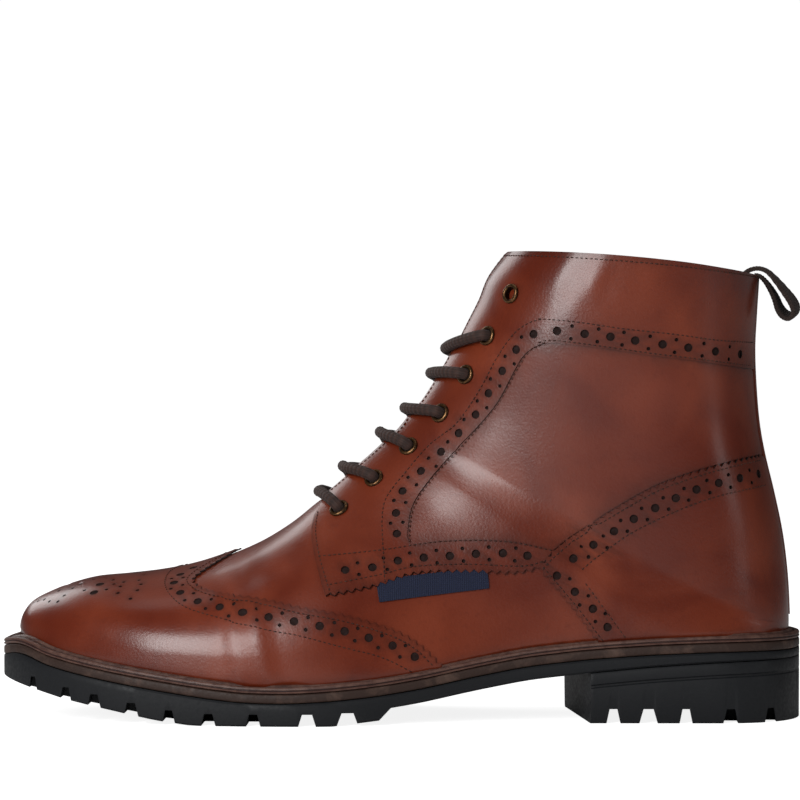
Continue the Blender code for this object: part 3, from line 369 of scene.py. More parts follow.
def cutPanel(name, outline, low, high, leather, rim, holes=(), innerLeather=None, spacing=.0024, roll=.0004):
    # A leather panel cut out of the surface, with its holes, its wall and a rounded edge
    holes = list(holes)
    outline3 = lastPoint(outline[:, 0], outline[:, 1])
    flatOutline = toFlat(outline)
    area = np.sum(flatOutline[:, 0] * np.roll(flatOutline[:, 1], -1) - np.roll(flatOutline[:, 0], -1) * flatOutline[:, 1])
    turned = 1 if area > 0 else -1
    size = np.ptp(flatOutline, axis=0)
    counts = np.maximum((size / spacing).astype(int), 2)
    gx, gy = np.meshgrid(np.linspace(flatOutline[:, 0].min(), flatOutline[:, 0].max(), counts[0]),
                         np.linspace(flatOutline[:, 1].min(), flatOutline[:, 1].max(), counts[1]), indexing="ij")
    gx[:, 1::2] += size[0] / counts[0] * .5
    grid = np.column_stack([gx.ravel(), gy.ravel()])
    grid = grid[insideOutline(grid, flatOutline)]
    # A row of points just inside the outline carries the rounded edge
    ringGuide = resample(outline, .0014, closed=True)[:-1]
    ring = toFlat(parallel(ringGuide, .0011 * -turned * outwardSign))
    otherRing = toFlat(parallel(ringGuide, .0011 * turned * outwardSign))
    ring = np.vstack([ring, otherRing])
    ring = ring[insideOutline(ring, flatOutline)]
    ring3 = lastPoint(*fromFlat(ring).T)
    ring = ring[nearest(ring3, outline3) > .0007]
    keep = np.ones(len(ring), bool)
    ring3 = lastPoint(*fromFlat(ring).T)
    cells = {}
    for index, key in enumerate(map(tuple, np.round(ring3 / .0008).astype(int))):
        keep[index] = cells.setdefault(key, index) == index
    ring = ring[keep]
    grid3 = lastPoint(*fromFlat(grid).T)
    grid = grid[nearest(grid3, np.vstack([outline3, lastPoint(*fromFlat(ring).T)])) > spacing * .55]
    inner = np.vstack([grid, ring])
    circles, circle3 = [], np.zeros((0, 3))
    for row, column, radius, sides in holes:
        angle = np.linspace(0, 2 * np.pi, sides, endpoint=False)
        place = np.repeat([[row, column]], sides, axis=0)
        normal = normalAt(row, column)[0] * outwardSign
        first = np.cross(normal, (0.3, 0.1, 1.0))
        first /= np.linalg.norm(first)
        second = np.cross(normal, first)
        spread = np.cos(angle)[:, None] * first + np.sin(angle)[:, None] * second
        circles.append(toFlat(shiftPlaces(place, spread * radius)))
    if holes:
        middles = lastPoint([h[0] for h in holes], [h[1] for h in holes])
        radii = np.array([h[2] for h in holes])
        inner3 = lastPoint(*fromFlat(inner).T)
        clear = np.ones(len(inner), bool)
        for middle, radius in zip(middles, radii):
            clear &= np.linalg.norm(inner3 - middle, axis=1) > radius + .0006
        inner = inner[clear]
    points = [flatOutline] + circles + [inner]
    edges, start = [], 0
    for loop in points[:-1]:
        count = len(loop)
        edges += [(start + i, start + (i + 1) % count) for i in range(count)]
        start += count
    flat = np.vstack(points)
    scaled = [Vector(p) for p in flat * 1000]
    cutVerts, _, cutFaces, _, _, _ = delaunay_2d_cdt(scaled, edges, [], 0, 1e-5)
    flat = np.array([tuple(p) for p in cutVerts]) / 1000
    tris = np.array([f for f in cutFaces if len(f) == 3])
    centre = flat[tris].mean(1)
    keep = insideOutline(centre, flatOutline)
    for loop in circles:
        keep[keep] = ~insideOutline(centre[keep], loop)
    tris = tris[keep]
    used, tris = np.unique(tris, return_inverse=True)
    tris = tris.reshape(-1, 3)
    places = fromFlat(flat[used])
    base3 = lastPoint(places[:, 0], places[:, 1])
    border = np.vstack([outline3] + [lastPoint(*fromFlat(loop).T) for loop in circles])
    away = nearest(base3, border)
    edgeAway = nearest(base3, outline3)
    outer, outerNormal = onBoot(places, high - roll * np.exp(-(away / .0005) ** 2))
    innerSkin, _ = onBoot(places, np.full(len(places), low))
    a, b, c = (outer[tris[:, i]] for i in range(3))
    facing = (np.cross(b - a, c - a) * outerNormal[tris[:, 0]]).sum(1)
    tris[facing < 0] = tris[facing < 0][:, ::-1]
    first, index = weldSeams(outer)
    count = len(places)
    directed = index[np.vstack([tris[:, [0, 1]], tris[:, [1, 2]], tris[:, [2, 0]]])]
    raw = np.vstack([tris[:, [0, 1]], tris[:, [1, 2]], tris[:, [2, 0]]])
    made = {tuple(e) for e in directed}
    rims = [tuple(raw[k]) for k, e in enumerate(directed) if (e[1], e[0]) not in made and e[0] != e[1]]
    rimFaces = [(b, a, a + count, b + count) for a, b in rims]
    verts = np.vstack([outer, innerSkin])
    _, everyIndex = weldSeams(verts)
    order = np.unique(everyIndex, return_index=True)[1]
    faces, kinds, seen = [], [], set()
    innerTris = tris[:, ::-1] + count
    for group, kind in ((tris, 0), (innerTris, 2 if innerLeather else 0), (rimFaces, 1)):
        for face in group:
            welded = [int(everyIndex[i]) for i in face]
            key = frozenset(welded)
            if len(key) == len(welded) and key not in seen:
                seen.add(key)
                faces.append(welded)
                kinds.append(kind)
    # edgeShade: burnished dye and painted shade along the outline, and painted shade round each punched hole
    shade = np.concatenate([np.exp(-edgeAway / .0022), np.exp(-edgeAway / .0022)])
    holeShade = np.exp(-away / .0007) * .8
    shade = np.maximum(shade, np.concatenate([holeShade, holeShade]))
    materials = [leather, rim] + ([innerLeather] if innerLeather else [])
    piece = makeObject(name, verts[order], faces, materials, kinds, shade[order], sharp=45)
    smooth = trueNormals(places, np.full(len(places), high), outerNormal)
    if len(piece.data.polygons) == len(kinds):
        setLoopNormals(piece, np.vstack([smooth, -smooth])[order], kinds)
    else:
        print(name, "keeps its own normals")
    return piece


def socketOf(group, name, kind, direction="INPUT", value=None):
    socket = group.interface.new_socket(name, in_out=direction, socket_type="NodeSocket" + kind)
    if value is not None:
        socket.default_value = value
    return socket


def put(tree, kind, values=None, **settings):
    # Adds a node. A value is a number, a colour or another node's socket.
    node = tree.nodes.new(kind)
    for key, value in settings.items():
        setattr(node, key, value)
    for key, value in (values or {}).items():
        if isinstance(value, bpy.types.NodeSocket):
            tree.links.new(value, node.inputs[key])
        else:
            node.inputs[key].default_value = value
    return node


def calc(tree, operation, a, b=0.0, clamp=False):
    return put(tree, "ShaderNodeMath", {0: a, 1: b}, operation=operation, use_clamp=clamp).outputs[0]


def blendColour(tree, factor, a, b, how="MIX"):
    node = put(tree, "ShaderNodeMix", {0: factor, 6: a, 7: b}, data_type="RGBA", blend_type=how)
    return node.outputs[2]


def spread(tree, value, low, high, newLow=0.0, newHigh=1.0):
    node = put(tree, "ShaderNodeMapRange", {0: value, 1: low, 2: high, 3: newLow, 4: newHigh})
    return node.outputs[0]


def noise(tree, where, scale, detail=3.0, rough=.5, distort=0.0):
    return put(tree, "ShaderNodeTexNoise", {"Vector": where, "Scale": scale, "Detail": detail, "Roughness": rough,
                                            "Distortion": distort}).outputs[0]


def makeGroup(name, inputs, outputs):
    group = bpy.data.node_groups.new(name, "ShaderNodeTree")
    for label, kind, value in inputs:
        socketOf(group, label, kind, "INPUT", value)
    for label, kind in outputs:
        socketOf(group, label, kind, "OUTPUT")
    return group, group.nodes.new("NodeGroupInput"), group.nodes.new("NodeGroupOutput")


def buildCalfGrain():
    # Fine pores, long soft wrinkles and large cloudy patches of dye
    group, given, result = makeGroup(
        "calfGrain", [("Pore Size", "Float", .0007), ("Wrinkle", "Float", .35), ("Patch Size", "Float", .045)],
        [("Height", "Float"), ("Patches", "Float"), ("Flecks", "Float")])
    where = group.nodes.new("ShaderNodeTexCoord").outputs["Object"]
    poreScale = calc(group, "DIVIDE", 1.0, given.outputs["Pore Size"])
    pores = put(group, "ShaderNodeTexVoronoi", {"Vector": where, "Scale": poreScale}, feature="SMOOTH_F1").outputs[0]
    fine = noise(group, where, calc(group, "MULTIPLY", poreScale, .55), 4)
    wrinkles = noise(group, where, 260, 3, .6, .8)
    height = calc(group, "ADD", calc(group, "MULTIPLY", pores, .55), calc(group, "MULTIPLY", fine, .8))
    height = calc(group, "ADD", height, calc(group, "MULTIPLY", wrinkles, given.outputs["Wrinkle"]))
    group.links.new(height, result.inputs["Height"])
    patchScale = calc(group, "DIVIDE", 1.0, given.outputs["Patch Size"])
    patches = noise(group, where, patchScale, 2.5, .5, .6)
    group.links.new(spread(group, patches, .36, .66), result.inputs["Patches"])
    group.links.new(spread(group, noise(group, where, 420, 2), .56, .74), result.inputs["Flecks"])
    return group


def buildBurnishAndPaintedShade():
    # Darker colour near a panel's edge, as burnished dye and painted shade, and painted shade round each punched hole,
    # broken up a little
    group, given, result = makeGroup("burnishAndPaintedShade", [("Strength", "Float", 1.0), ("Breakup", "Float", .5)],
                                     [("Mask", "Float")])
    shade = put(group, "ShaderNodeAttribute", attribute_name="edgeShade").outputs["Fac"]
    where = group.nodes.new("ShaderNodeTexCoord").outputs["Object"]
    cloud = spread(group, noise(group, where, 160, 3), .3, .7, .55, 1.25)
    mixed = calc(group, "MULTIPLY", shade, cloud)
    group.links.new(calc(group, "MULTIPLY", mixed, given.outputs["Strength"], True), result.inputs["Mask"])
    return group


def buildRubWear():
    # Worn, dusty or polished spots for rubber, metal and edges
    group, given, result = makeGroup("rubWear", [("Scale", "Float", 120.0), ("Amount", "Float", .5)],
                                     [("Mask", "Float"), ("Height", "Float")])
    where = group.nodes.new("ShaderNodeTexCoord").outputs["Object"]
    cloud = noise(group, where, given.outputs["Scale"], 5, .65, .3)
    low = calc(group, "SUBTRACT", .78, calc(group, "MULTIPLY", given.outputs["Amount"], .35))
    mask = put(group, "ShaderNodeMapRange", {0: cloud, 1: low, 2: calc(group, "ADD", low, .16)}).outputs[0]
    group.links.new(mask, result.inputs["Mask"])
    group.links.new(noise(group, where, calc(group, "MULTIPLY", given.outputs["Scale"], 9), 3), result.inputs["Height"])
    return group


calfGrain, burnishAndPaintedShade, rubWear = buildCalfGrain(), buildBurnishAndPaintedShade(), buildRubWear()


def startMaterial(name):
    material = bpy.data.materials.new(name)
    material.use_nodes = True
    tree = material.node_tree
    return material, tree, tree.nodes["Principled BSDF"]


def useGroup(tree, group, values):
    return put(tree, "ShaderNodeGroup", values={}, node_tree=group) if not values else setGroup(tree, group, values)


def setGroup(tree, group, values):
    node = tree.nodes.new("ShaderNodeGroup")
    node.node_tree = group
    for key, value in values.items():
        node.inputs[key].default_value = value
    return node


def join(tree, shader, **values):
    for key, value in values.items():
        socket = shader.inputs[key.replace("_", " ")]
        if isinstance(value, bpy.types.NodeSocket):
            tree.links.new(value, socket)
        else:
            socket.default_value = value


def reliefOf(tree, height, strength, distance, under=None):
    values = {"Height": height, "Strength": strength, "Distance": distance}
    if under is not None:
        values["Normal"] = under
    return put(tree, "ShaderNodeBump", values).outputs[0]


# Finishes of the calf leather, as linear colours
# The darkest colour is for burnished dye and painted shade near edges and holes
calf = {"mid": (.165, .021, .0055, 1), "light": (.265, .046, .013, 1), "deep": (.075, .008, .0028, 1),
        "burnishShadeDark": (.030, .0060, .0030, 1), "roughness": .33, "coat": .36, "coatRoughness": .19, "grain": .16}


def calfLeather(name, tint=1.0, grain=1.0, gloss=1.0):
    material, tree, shader = startMaterial(name)
    grainNode = setGroup(tree, calfGrain, {"Pore Size": .0008, "Wrinkle": .3, "Patch Size": .040})
    burnishAndShade = setGroup(tree, burnishAndPaintedShade, {"Strength": .5, "Breakup": .5})
    colour = blendColour(tree, grainNode.outputs["Patches"], calf["deep"], calf["light"])
    colour = blendColour(tree, .55, colour, tuple(c * tint for c in calf["mid"][:3]) + (1,))
    colour = blendColour(tree, calc(tree, "MULTIPLY", grainNode.outputs["Flecks"], .18), colour, calf["deep"])
    # Darker near edges and holes: burnished dye and painted shade along the edges, painted shade round the holes
    colour = blendColour(tree, burnishAndShade.outputs["Mask"], colour, calf["burnishShadeDark"])
    rough = spread(tree, grainNode.outputs["Patches"], 0, 1, calf["roughness"] * .88, calf["roughness"] * 1.18)
    relief = reliefOf(tree, grainNode.outputs["Height"], calf["grain"] * grain, .0004)
    join(tree, shader, Base_Color=colour, Roughness=rough, Normal=relief, Coat_Weight=calf["coat"] * gloss,
         Coat_Roughness=calf["coatRoughness"], Specular_IOR_Level=.42)
    return material


def plainLeather(name, colour, dark, roughness, patch=.02, coat=0.0):
    material, tree, shader = startMaterial(name)
    grainNode = setGroup(tree, calfGrain, {"Pore Size": .0009, "Wrinkle": .6, "Patch Size": patch})
    burnishAndShade = setGroup(tree, burnishAndPaintedShade, {"Strength": .4, "Breakup": .5})
    mixed = blendColour(tree, grainNode.outputs["Patches"], dark, colour)
    # Darker near edges and holes: burnished dye and painted shade along the edges, painted shade round the holes
    mixed = blendColour(tree, burnishAndShade.outputs["Mask"], mixed, tuple(c * .35 for c in dark[:3]) + (1,))
    rough = spread(tree, grainNode.outputs["Flecks"], 0, 1, roughness * .9, min(roughness * 1.15, 1))
    relief = reliefOf(tree, grainNode.outputs["Height"], .35, .0004)
    join(tree, shader, Base_Color=mixed, Roughness=rough, Normal=relief, Coat_Weight=coat, Coat_Roughness=.3)
    return material


def wovenCloth(name, thread, gap, roughness, ribs, across, twill=0.0):
    # Ribs follow the piece's own UV map
    material, tree, shader = startMaterial(name)
    uv = tree.nodes.new("ShaderNodeUVMap").outputs[0]
    parts = put(tree, "ShaderNodeSeparateXYZ", {0: uv})
    turned = calc(tree, "ADD", parts.outputs[0], calc(tree, "MULTIPLY", parts.outputs[1], twill))
    warp = calc(tree, "SINE", calc(tree, "MULTIPLY", turned, ribs * 2 * math.pi))
    weft = calc(tree, "SINE", calc(tree, "MULTIPLY", parts.outputs[1], across * 2 * math.pi))
    weave = calc(tree, "ADD", calc(tree, "MULTIPLY", warp, .30), calc(tree, "MULTIPLY", weft, .20))
    weave = calc(tree, "ADD", weave, .5)
    where = tree.nodes.new("ShaderNodeTexCoord").outputs["Object"]
    fuzz = noise(tree, where, 2600, 3)
    height = calc(tree, "ADD", weave, calc(tree, "MULTIPLY", fuzz, .35))
    colour = blendColour(tree, weave, gap, thread)
    colour = blendColour(tree, calc(tree, "MULTIPLY", fuzz, .35), colour, tuple(c * 1.7 for c in thread[:3]) + (1,))
    rough = spread(tree, fuzz, 0, 1, roughness * .9, min(1, roughness * 1.1))
    join(tree, shader, Base_Color=colour, Roughness=rough, Normal=reliefOf(tree, height, .7, .0004),
         Sheen_Weight=.05, Sheen_Roughness=.5)
    return material


def moulded(name, colour, dust, roughness, amount, relief=.25):
    material, tree, shader = startMaterial(name)
    wear = setGroup(tree, rubWear, {"Scale": 90.0, "Amount": amount})
    mixed = blendColour(tree, wear.outputs["Mask"], colour, dust)
    cloud = spread(tree, wear.outputs["Height"], .3, .7, roughness * .85, min(roughness * 1.2, 1))
    join(tree, shader, Base_Color=mixed, Roughness=cloud, Normal=reliefOf(tree, wear.outputs["Height"], relief, .0003),
         Specular_IOR_Level=.35)
    return material


def agedBrass(name):
    material, tree, shader = startMaterial(name)
    wear = setGroup(tree, rubWear, {"Scale": 600.0, "Amount": .9})
    shade = put(tree, "ShaderNodeAttribute", attribute_name="edgeShade").outputs["Fac"]
    mixed = blendColour(tree, wear.outputs["Mask"], (.20, .105, .045, 1), (.055, .028, .015, 1))
    # Painted shade where edgeShade is high: the ring's outer edge and its bore
    mixed = blendColour(tree, shade, mixed, (.018, .011, .008, 1))
    rough = spread(tree, wear.outputs["Mask"], 0, 1, .26, .48)
    join(tree, shader, Base_Color=mixed, Roughness=rough, Metallic=.92,
         Normal=reliefOf(tree, wear.outputs["Height"], .15, .0002))
    return material


def weltHide(name):
    # Layered edge: fine lines along the sole over the dyed welt
    material, tree, shader = startMaterial(name)
    where = tree.nodes.new("ShaderNodeTexCoord").outputs["Object"]
    stretched = put(tree, "ShaderNodeMapping", {"Vector": where, "Scale": (60, 60, 2600)}).outputs[0]
    layers = noise(tree, stretched, 1.0, 4, .6)
    wear = setGroup(tree, rubWear, {"Scale": 260.0, "Amount": 1.0})
    shade = put(tree, "ShaderNodeAttribute", attribute_name="edgeShade").outputs["Fac"]
    colour = blendColour(tree, spread(tree, layers, .3, .7), (.040, .014, .010, 1), (.105, .040, .026, 1))
    colour = blendColour(tree, calc(tree, "MULTIPLY", wear.outputs["Mask"], .5), colour, (.17, .085, .060, 1))
    # Painted shade from the edgeShade attribute: darker in the welt's grooves, underneath and towards the upper
    colour = blendColour(tree, shade, colour, (.024, .006, .005, 1))
    height = calc(tree, "ADD", layers, calc(tree, "MULTIPLY", wear.outputs["Height"], .6))
    join(tree, shader, Base_Color=colour, Roughness=spread(tree, layers, .2, .8, .42, .60),
         Normal=reliefOf(tree, height, .4, .0004), Coat_Weight=.12, Coat_Roughness=.35)
    return material


leatherUpper = calfLeather("cognacCalf")
leatherBand = calfLeather("cognacCalfBand", .92, 1.15, .85)
leatherRim = plainLeather("burntCutEdge", (.030, .009, .006, 1), (.012, .004, .003, 1), .7)
leatherLining = plainLeather("tanLining", (.40, .21, .105, 1), (.30, .145, .07, 1), .62)
leatherInsole = plainLeather("insoleHide", (.36, .20, .11, 1), (.25, .13, .07, 1), .55, .03, .1)
weltLeather = weltHide("weltLayers")
midsoleLeather = moulded("midsoleBrown", (.034, .017, .012, 1), (.085, .048, .035, 1), .55, .8, .35)
blackRubber = moulded("blackRubber", (.008, .009, .011, 1), (.020, .021, .024, 1), .55, .30, .15)
heelRubber = moulded("heelRubber", (.009, .010, .012, 1), (.022, .023, .026, 1), .52, .35, .15)
ribbedWebbing = wovenCloth("ribbedWebbing", (.034, .017, .012, 1), (.009, .005, .004, 1), .8, 620, 900)
stripLeather = calfLeather("stripCalf", .8, 1.2, .7)
navyWeave = wovenCloth("navyTape", (.006, .012, .045, 1), (.002, .004, .014, 1), .8, 1400, 1400)
laceWeave = wovenCloth("laceWeave", (.045, .018, .012, 1), (.010, .004, .003, 1), .75, 420, 6, .0)
threadBrown = moulded("threadBrown", (.040, .013, .008, 1), (.075, .028, .016, 1), .55, .8, .5)
holeShadeColour = moulded("holeShadeColour", (.016, .005, .0035, 1), (.028, .009, .006, 1), .85, .4)
# Painted shade: the dark colour of the discs in the punched holes
antiqueBrass = agedBrass("antiqueBrass")
print("materials ready")

# Seams and holes of the brogue work, as shares of length and height
brogue = {
    "facingFront": [(.3965, .432), (.394, .396), (.398, .352), (.405, .310), (.413, .270)],
    "facingLow": [(.413, .270), (.474, .292), (.521, .317), (.589, .322), (.640, .319), (.673, .329)],
    "bandBack": [(.690, .366), (.660, .378), (.628, .386), (.585, .386), (.549, .382), (.522, .374), (.513, .384),
                 (.513, .416), (.519, .461), (.540, .514), (.575, .584), (.601, .631), (.625, .684), (.649, .762),
                 (.661, .789), (.676, .803)],
    "collarUnder": [(.676, .803), (.693, .806), (.749, .796), (.806, .781), (.862, .769), (.929, .752), (.945, .748)],
    "counterTop": [(.673, .329), (.690, .362), (.724, .407), (.771, .459), (.817, .503), (.865, .533), (.914, .554),
                   (.946, .563)],
    "counterFront": [(.673, .329), (.712, .250), (.746, .172)],
    "wingEdge": [(.300, .357), (.275, .333), (.254, .310), (.246, .293), (.265, .277), (.294, .270), (.343, .260),
                 (.382, .246), (.437, .230), (.494, .200), (.527, .168), (.556, .119)],
    "seams": {
        "facing": [
            [(.405, .348), (.485, .364), (.550, .382), (.628, .385), (.687, .367)],
            [(.419, .292), (.479, .313), (.521, .330), (.583, .336), (.650, .333), (.676, .342)],
            [(.484, .300), (.482, .363), (.481, .427), (.487, .473), (.510, .525), (.541, .587), (.575, .635),
             (.603, .706), (.624, .773), (.644, .823), (.662, .847), (.676, .855)],
            [(.515, .384), (.515, .414), (.521, .457), (.541, .511), (.577, .579), (.602, .629), (.626, .682),
             (.651, .759), (.664, .791), (.680, .806)],
            [(.676, .857), (.719, .851), (.775, .837), (.834, .826), (.890, .813), (.938, .808)],
            [(.676, .808), (.693, .812), (.750, .800), (.806, .786), (.862, .774), (.938, .756)]],
        "counter": [
            [(.727, .328), (.779, .397), (.844, .453), (.895, .483), (.949, .500)],
            [(.731, .294), (.777, .186)],
            [(.679, .329), (.694, .356), (.727, .400), (.774, .451), (.819, .494), (.866, .524), (.914, .545),
             (.942, .553)],
            [(.679, .329), (.717, .252), (.750, .178)]],
        "wing": [
            [(.232, .318), (.214, .306), (.211, .284), (.223, .259), (.247, .237), (.296, .217), (.344, .199),
             (.383, .188), (.438, .163), (.480, .143), (.515, .114)]]},
    "largeHoles": {
        "facing": [
            [(.436, .322), (.469, .328), (.500, .342), (.532, .349), (.564, .353), (.596, .358), (.629, .360),
             (.659, .355)],
            [(.499, .398), (.498, .441), (.506, .487), (.529, .530), (.554, .572), (.576, .613), (.597, .653),
             (.613, .699), (.630, .747), (.647, .792), (.668, .825)],
            [(.696, .832), (.729, .826), (.760, .820), (.790, .812), (.823, .804), (.854, .797), (.887, .789),
             (.918, .783)]],
        "counter": [
            [(.715, .349), (.740, .379), (.765, .408), (.789, .434), (.815, .457), (.840, .478), (.865, .496),
             (.892, .509), (.918, .518), (.942, .525)],
            [(.695, .313), (.717, .279), (.739, .243), (.757, .204)]],
        "wing": [
            [(.243, .316), (.228, .303), (.222, .288), (.232, .270), (.255, .254), (.283, .244), (.312, .235),
             (.344, .226), (.375, .218), (.406, .209), (.436, .198), (.465, .184), (.494, .167), (.521, .143)]]},
    "rosetteLarge": [(.127, .281), (.122, .266), (.169, .300)],
    "rosetteSmall": [
        (.040, .236), (.047, .241), (.056, .246), (.064, .244), (.076, .245), (.083, .257), (.092, .271),
        (.101, .279), (.073, .264), (.081, .273), (.116, .288), (.109, .269), (.131, .291), (.142, .289),
        (.145, .282), (.137, .272), (.154, .278), (.157, .286), (.180, .298), (.176, .290), (.180, .283),
        (.177, .272), (.153, .266), (.170, .256)],
    "largeRadius": .00165, "smallRadius": .00075, "pairSpread": .0024}
levels = {"wall": -.0018, "wing": (.0003, .0013), "quarter": (.0002, .0011), "band": (.0002, .0017),
          "tab": (.0003, .0010), "strip": (.0003, .0022)}
sides = {"lateral": -1, "medial": 1}


def throatColumn(rows, side, half):
    # Column where the surface comes this far from the middle of the throat
    tries = np.linspace(0, .5, 101)
    found = []
    for row in np.atleast_1d(rows):
        reach = (lastPoint(np.full(101, row), side * tries)[:, 1] - boot["throatMiddle"]) * side
        found.append(side * np.interp(half, reach, tries))
    return np.array(found)


def throatPath(side, half, first, last=lastRow, count=60):
    rows = np.linspace(first, last, count)
    return np.column_stack([rows, throatColumn(rows, side, half)])


def straight(start, end, count=40):
    return np.linspace(start, end, count)


def seamColumn(rows, side, half):
    # Column this far from the back seam
    tries = np.linspace(1, .8, 81)
    found = []
    for row in np.atleast_1d(rows):
        reach = np.abs(lastPoint(np.full(81, row), side * tries)[:, 1])
        found.append(side * np.interp(half, reach, tries))
    return np.array(found)


def chain(*paths):
    joined = np.vstack(paths)
    points = lastPoint(joined[:, 0], joined[:, 1])
    gap = np.linalg.norm(np.roll(points, -1, axis=0) - points, axis=1)
    flatGap = np.linalg.norm(np.roll(toFlat(joined), -1, axis=0) - toFlat(joined), axis=1)
    return joined[(gap > 1.5e-4) | (flatGap > 1.5e-3)]


def holesOf(part, side):
    # Large holes along a band, with a small pair between each two
    found = []
    for row in brogue["largeHoles"][part]:
        middles = locate(row, side)
        found += [(r, c, brogue["largeRadius"], 14) for r, c in middles]
        between = resample(middles, .0005)
        points = lastPoint(between[:, 0], between[:, 1])
        ends = lastPoint(middles[:, 0], middles[:, 1])
        for a, b in zip(ends, ends[1:]):
            index = np.abs(np.linalg.norm(points - a, axis=1) - np.linalg.norm(points - b, axis=1)).argmin()
            index = int(np.clip(index, 1, len(between) - 2))
            piece = between[index - 1:index + 2]
            for hand in (-1, 1):
                spot = parallel(piece, brogue["pairSpread"] * hand)[1]
                found.append((spot[0], spot[1], brogue["smallRadius"], 8))
    return found


def withinPanel(holes, outline, clear=.0006):
    # Keeps the holes that lie on the panel and clear of each other and of its edge
    spots = lastPoint([h[0] for h in holes], [h[1] for h in holes])
    inside = insideOutline(toFlat([h[:2] for h in holes]), toFlat(outline))
    edgeAway = nearest(spots, lastPoint(*resample(outline, .0008, closed=True).T))
    kept = []
    for index, hole in enumerate(holes):
        apart = all(np.linalg.norm(spots[index] - spots[k]) > hole[2] + holes[k][2] + .0004 for k in kept)
        if inside[index] and apart and edgeAway[index] > hole[2] + clear:
            kept.append(index)
    return [holes[k] for k in kept]


seamRuns, holeSpots = [], []


def dress(piece, node):
    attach(piece, "root")
    if node:
        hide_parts(*([node] if isinstance(node, str) else node))
    return piece


# Notes a disc of painted shade for each hole, at the given lift
def noteHoles(holes, floor):
    for row, column, radius, _ in holes:
        holeSpots.append(((row, column), floor, radius))


# Hollow upper: one wall from the welt to the collar, open at the throat
throatStart = 12.3
back, low = boot["cornerRow"], 0.0
baseOutline = chain(
    straight((0, 0), (0, -1), 60), straight((0, -1), (lastRow, -1), 260),
    straight((lastRow, -1), (lastRow, throatColumn(lastRow, -1, .0095)[0]), 90),
    throatPath(-1, .0095, throatStart + .8)[::-1], [(throatStart, 0)], throatPath(1, .0095, throatStart + .8),
    straight((lastRow, throatColumn(lastRow, 1, .0095)[0]), (lastRow, 1), 90),
    straight((lastRow, 1), (0, 1), 260), straight((0, 1), (0, 0), 60))
upperWall = cutPanel("upperWall", baseOutline, levels["wall"], 0, leatherUpper, leatherRim,
                     innerLeather=leatherLining, spacing=.0026)
dress(upperWall, "upper")
print("upper wall", len(upperWall.data.polygons))

# Wing tip over the toe, with its rosette of punched holes
wingOuter, wingInner = pinked(brogue["wingEdge"], -1), pinked(brogue["wingEdge"], 1)
lowRow = wingOuter[-1, 0]
wingOuter[-1, 1], wingInner[-1, 1] = -1, 1
wingOutline = chain(
    wingOuter, straight((wingOuter[-1, 0], -1), (0, -1), 150), straight((0, -1), (0, 1), 121),
    straight((0, 1), (wingInner[-1, 0], 1), 150), wingInner[::-1])
wingHoles = []
for side in sides.values():
    wingHoles += holesOf("wing", side)
    for spot in locate(brogue["rosetteLarge"], side):
        wingHoles.append((spot[0], spot[1], brogue["largeRadius"], 14))
    for spot in locate(brogue["rosetteSmall"], side):
        wingHoles.append((spot[0], spot[1], brogue["smallRadius"], 8))
wingHoles = withinPanel(wingHoles, wingOutline)
wingTip = cutPanel("wingTip", wingOutline, *levels["wing"], leatherUpper, leatherRim, holes=wingHoles)
dress(wingTip, "wing_tip")
noteHoles(wingHoles, levels["wing"][0] + .0002)
print("wing tip", len(wingTip.data.polygons), len(wingHoles), "holes")

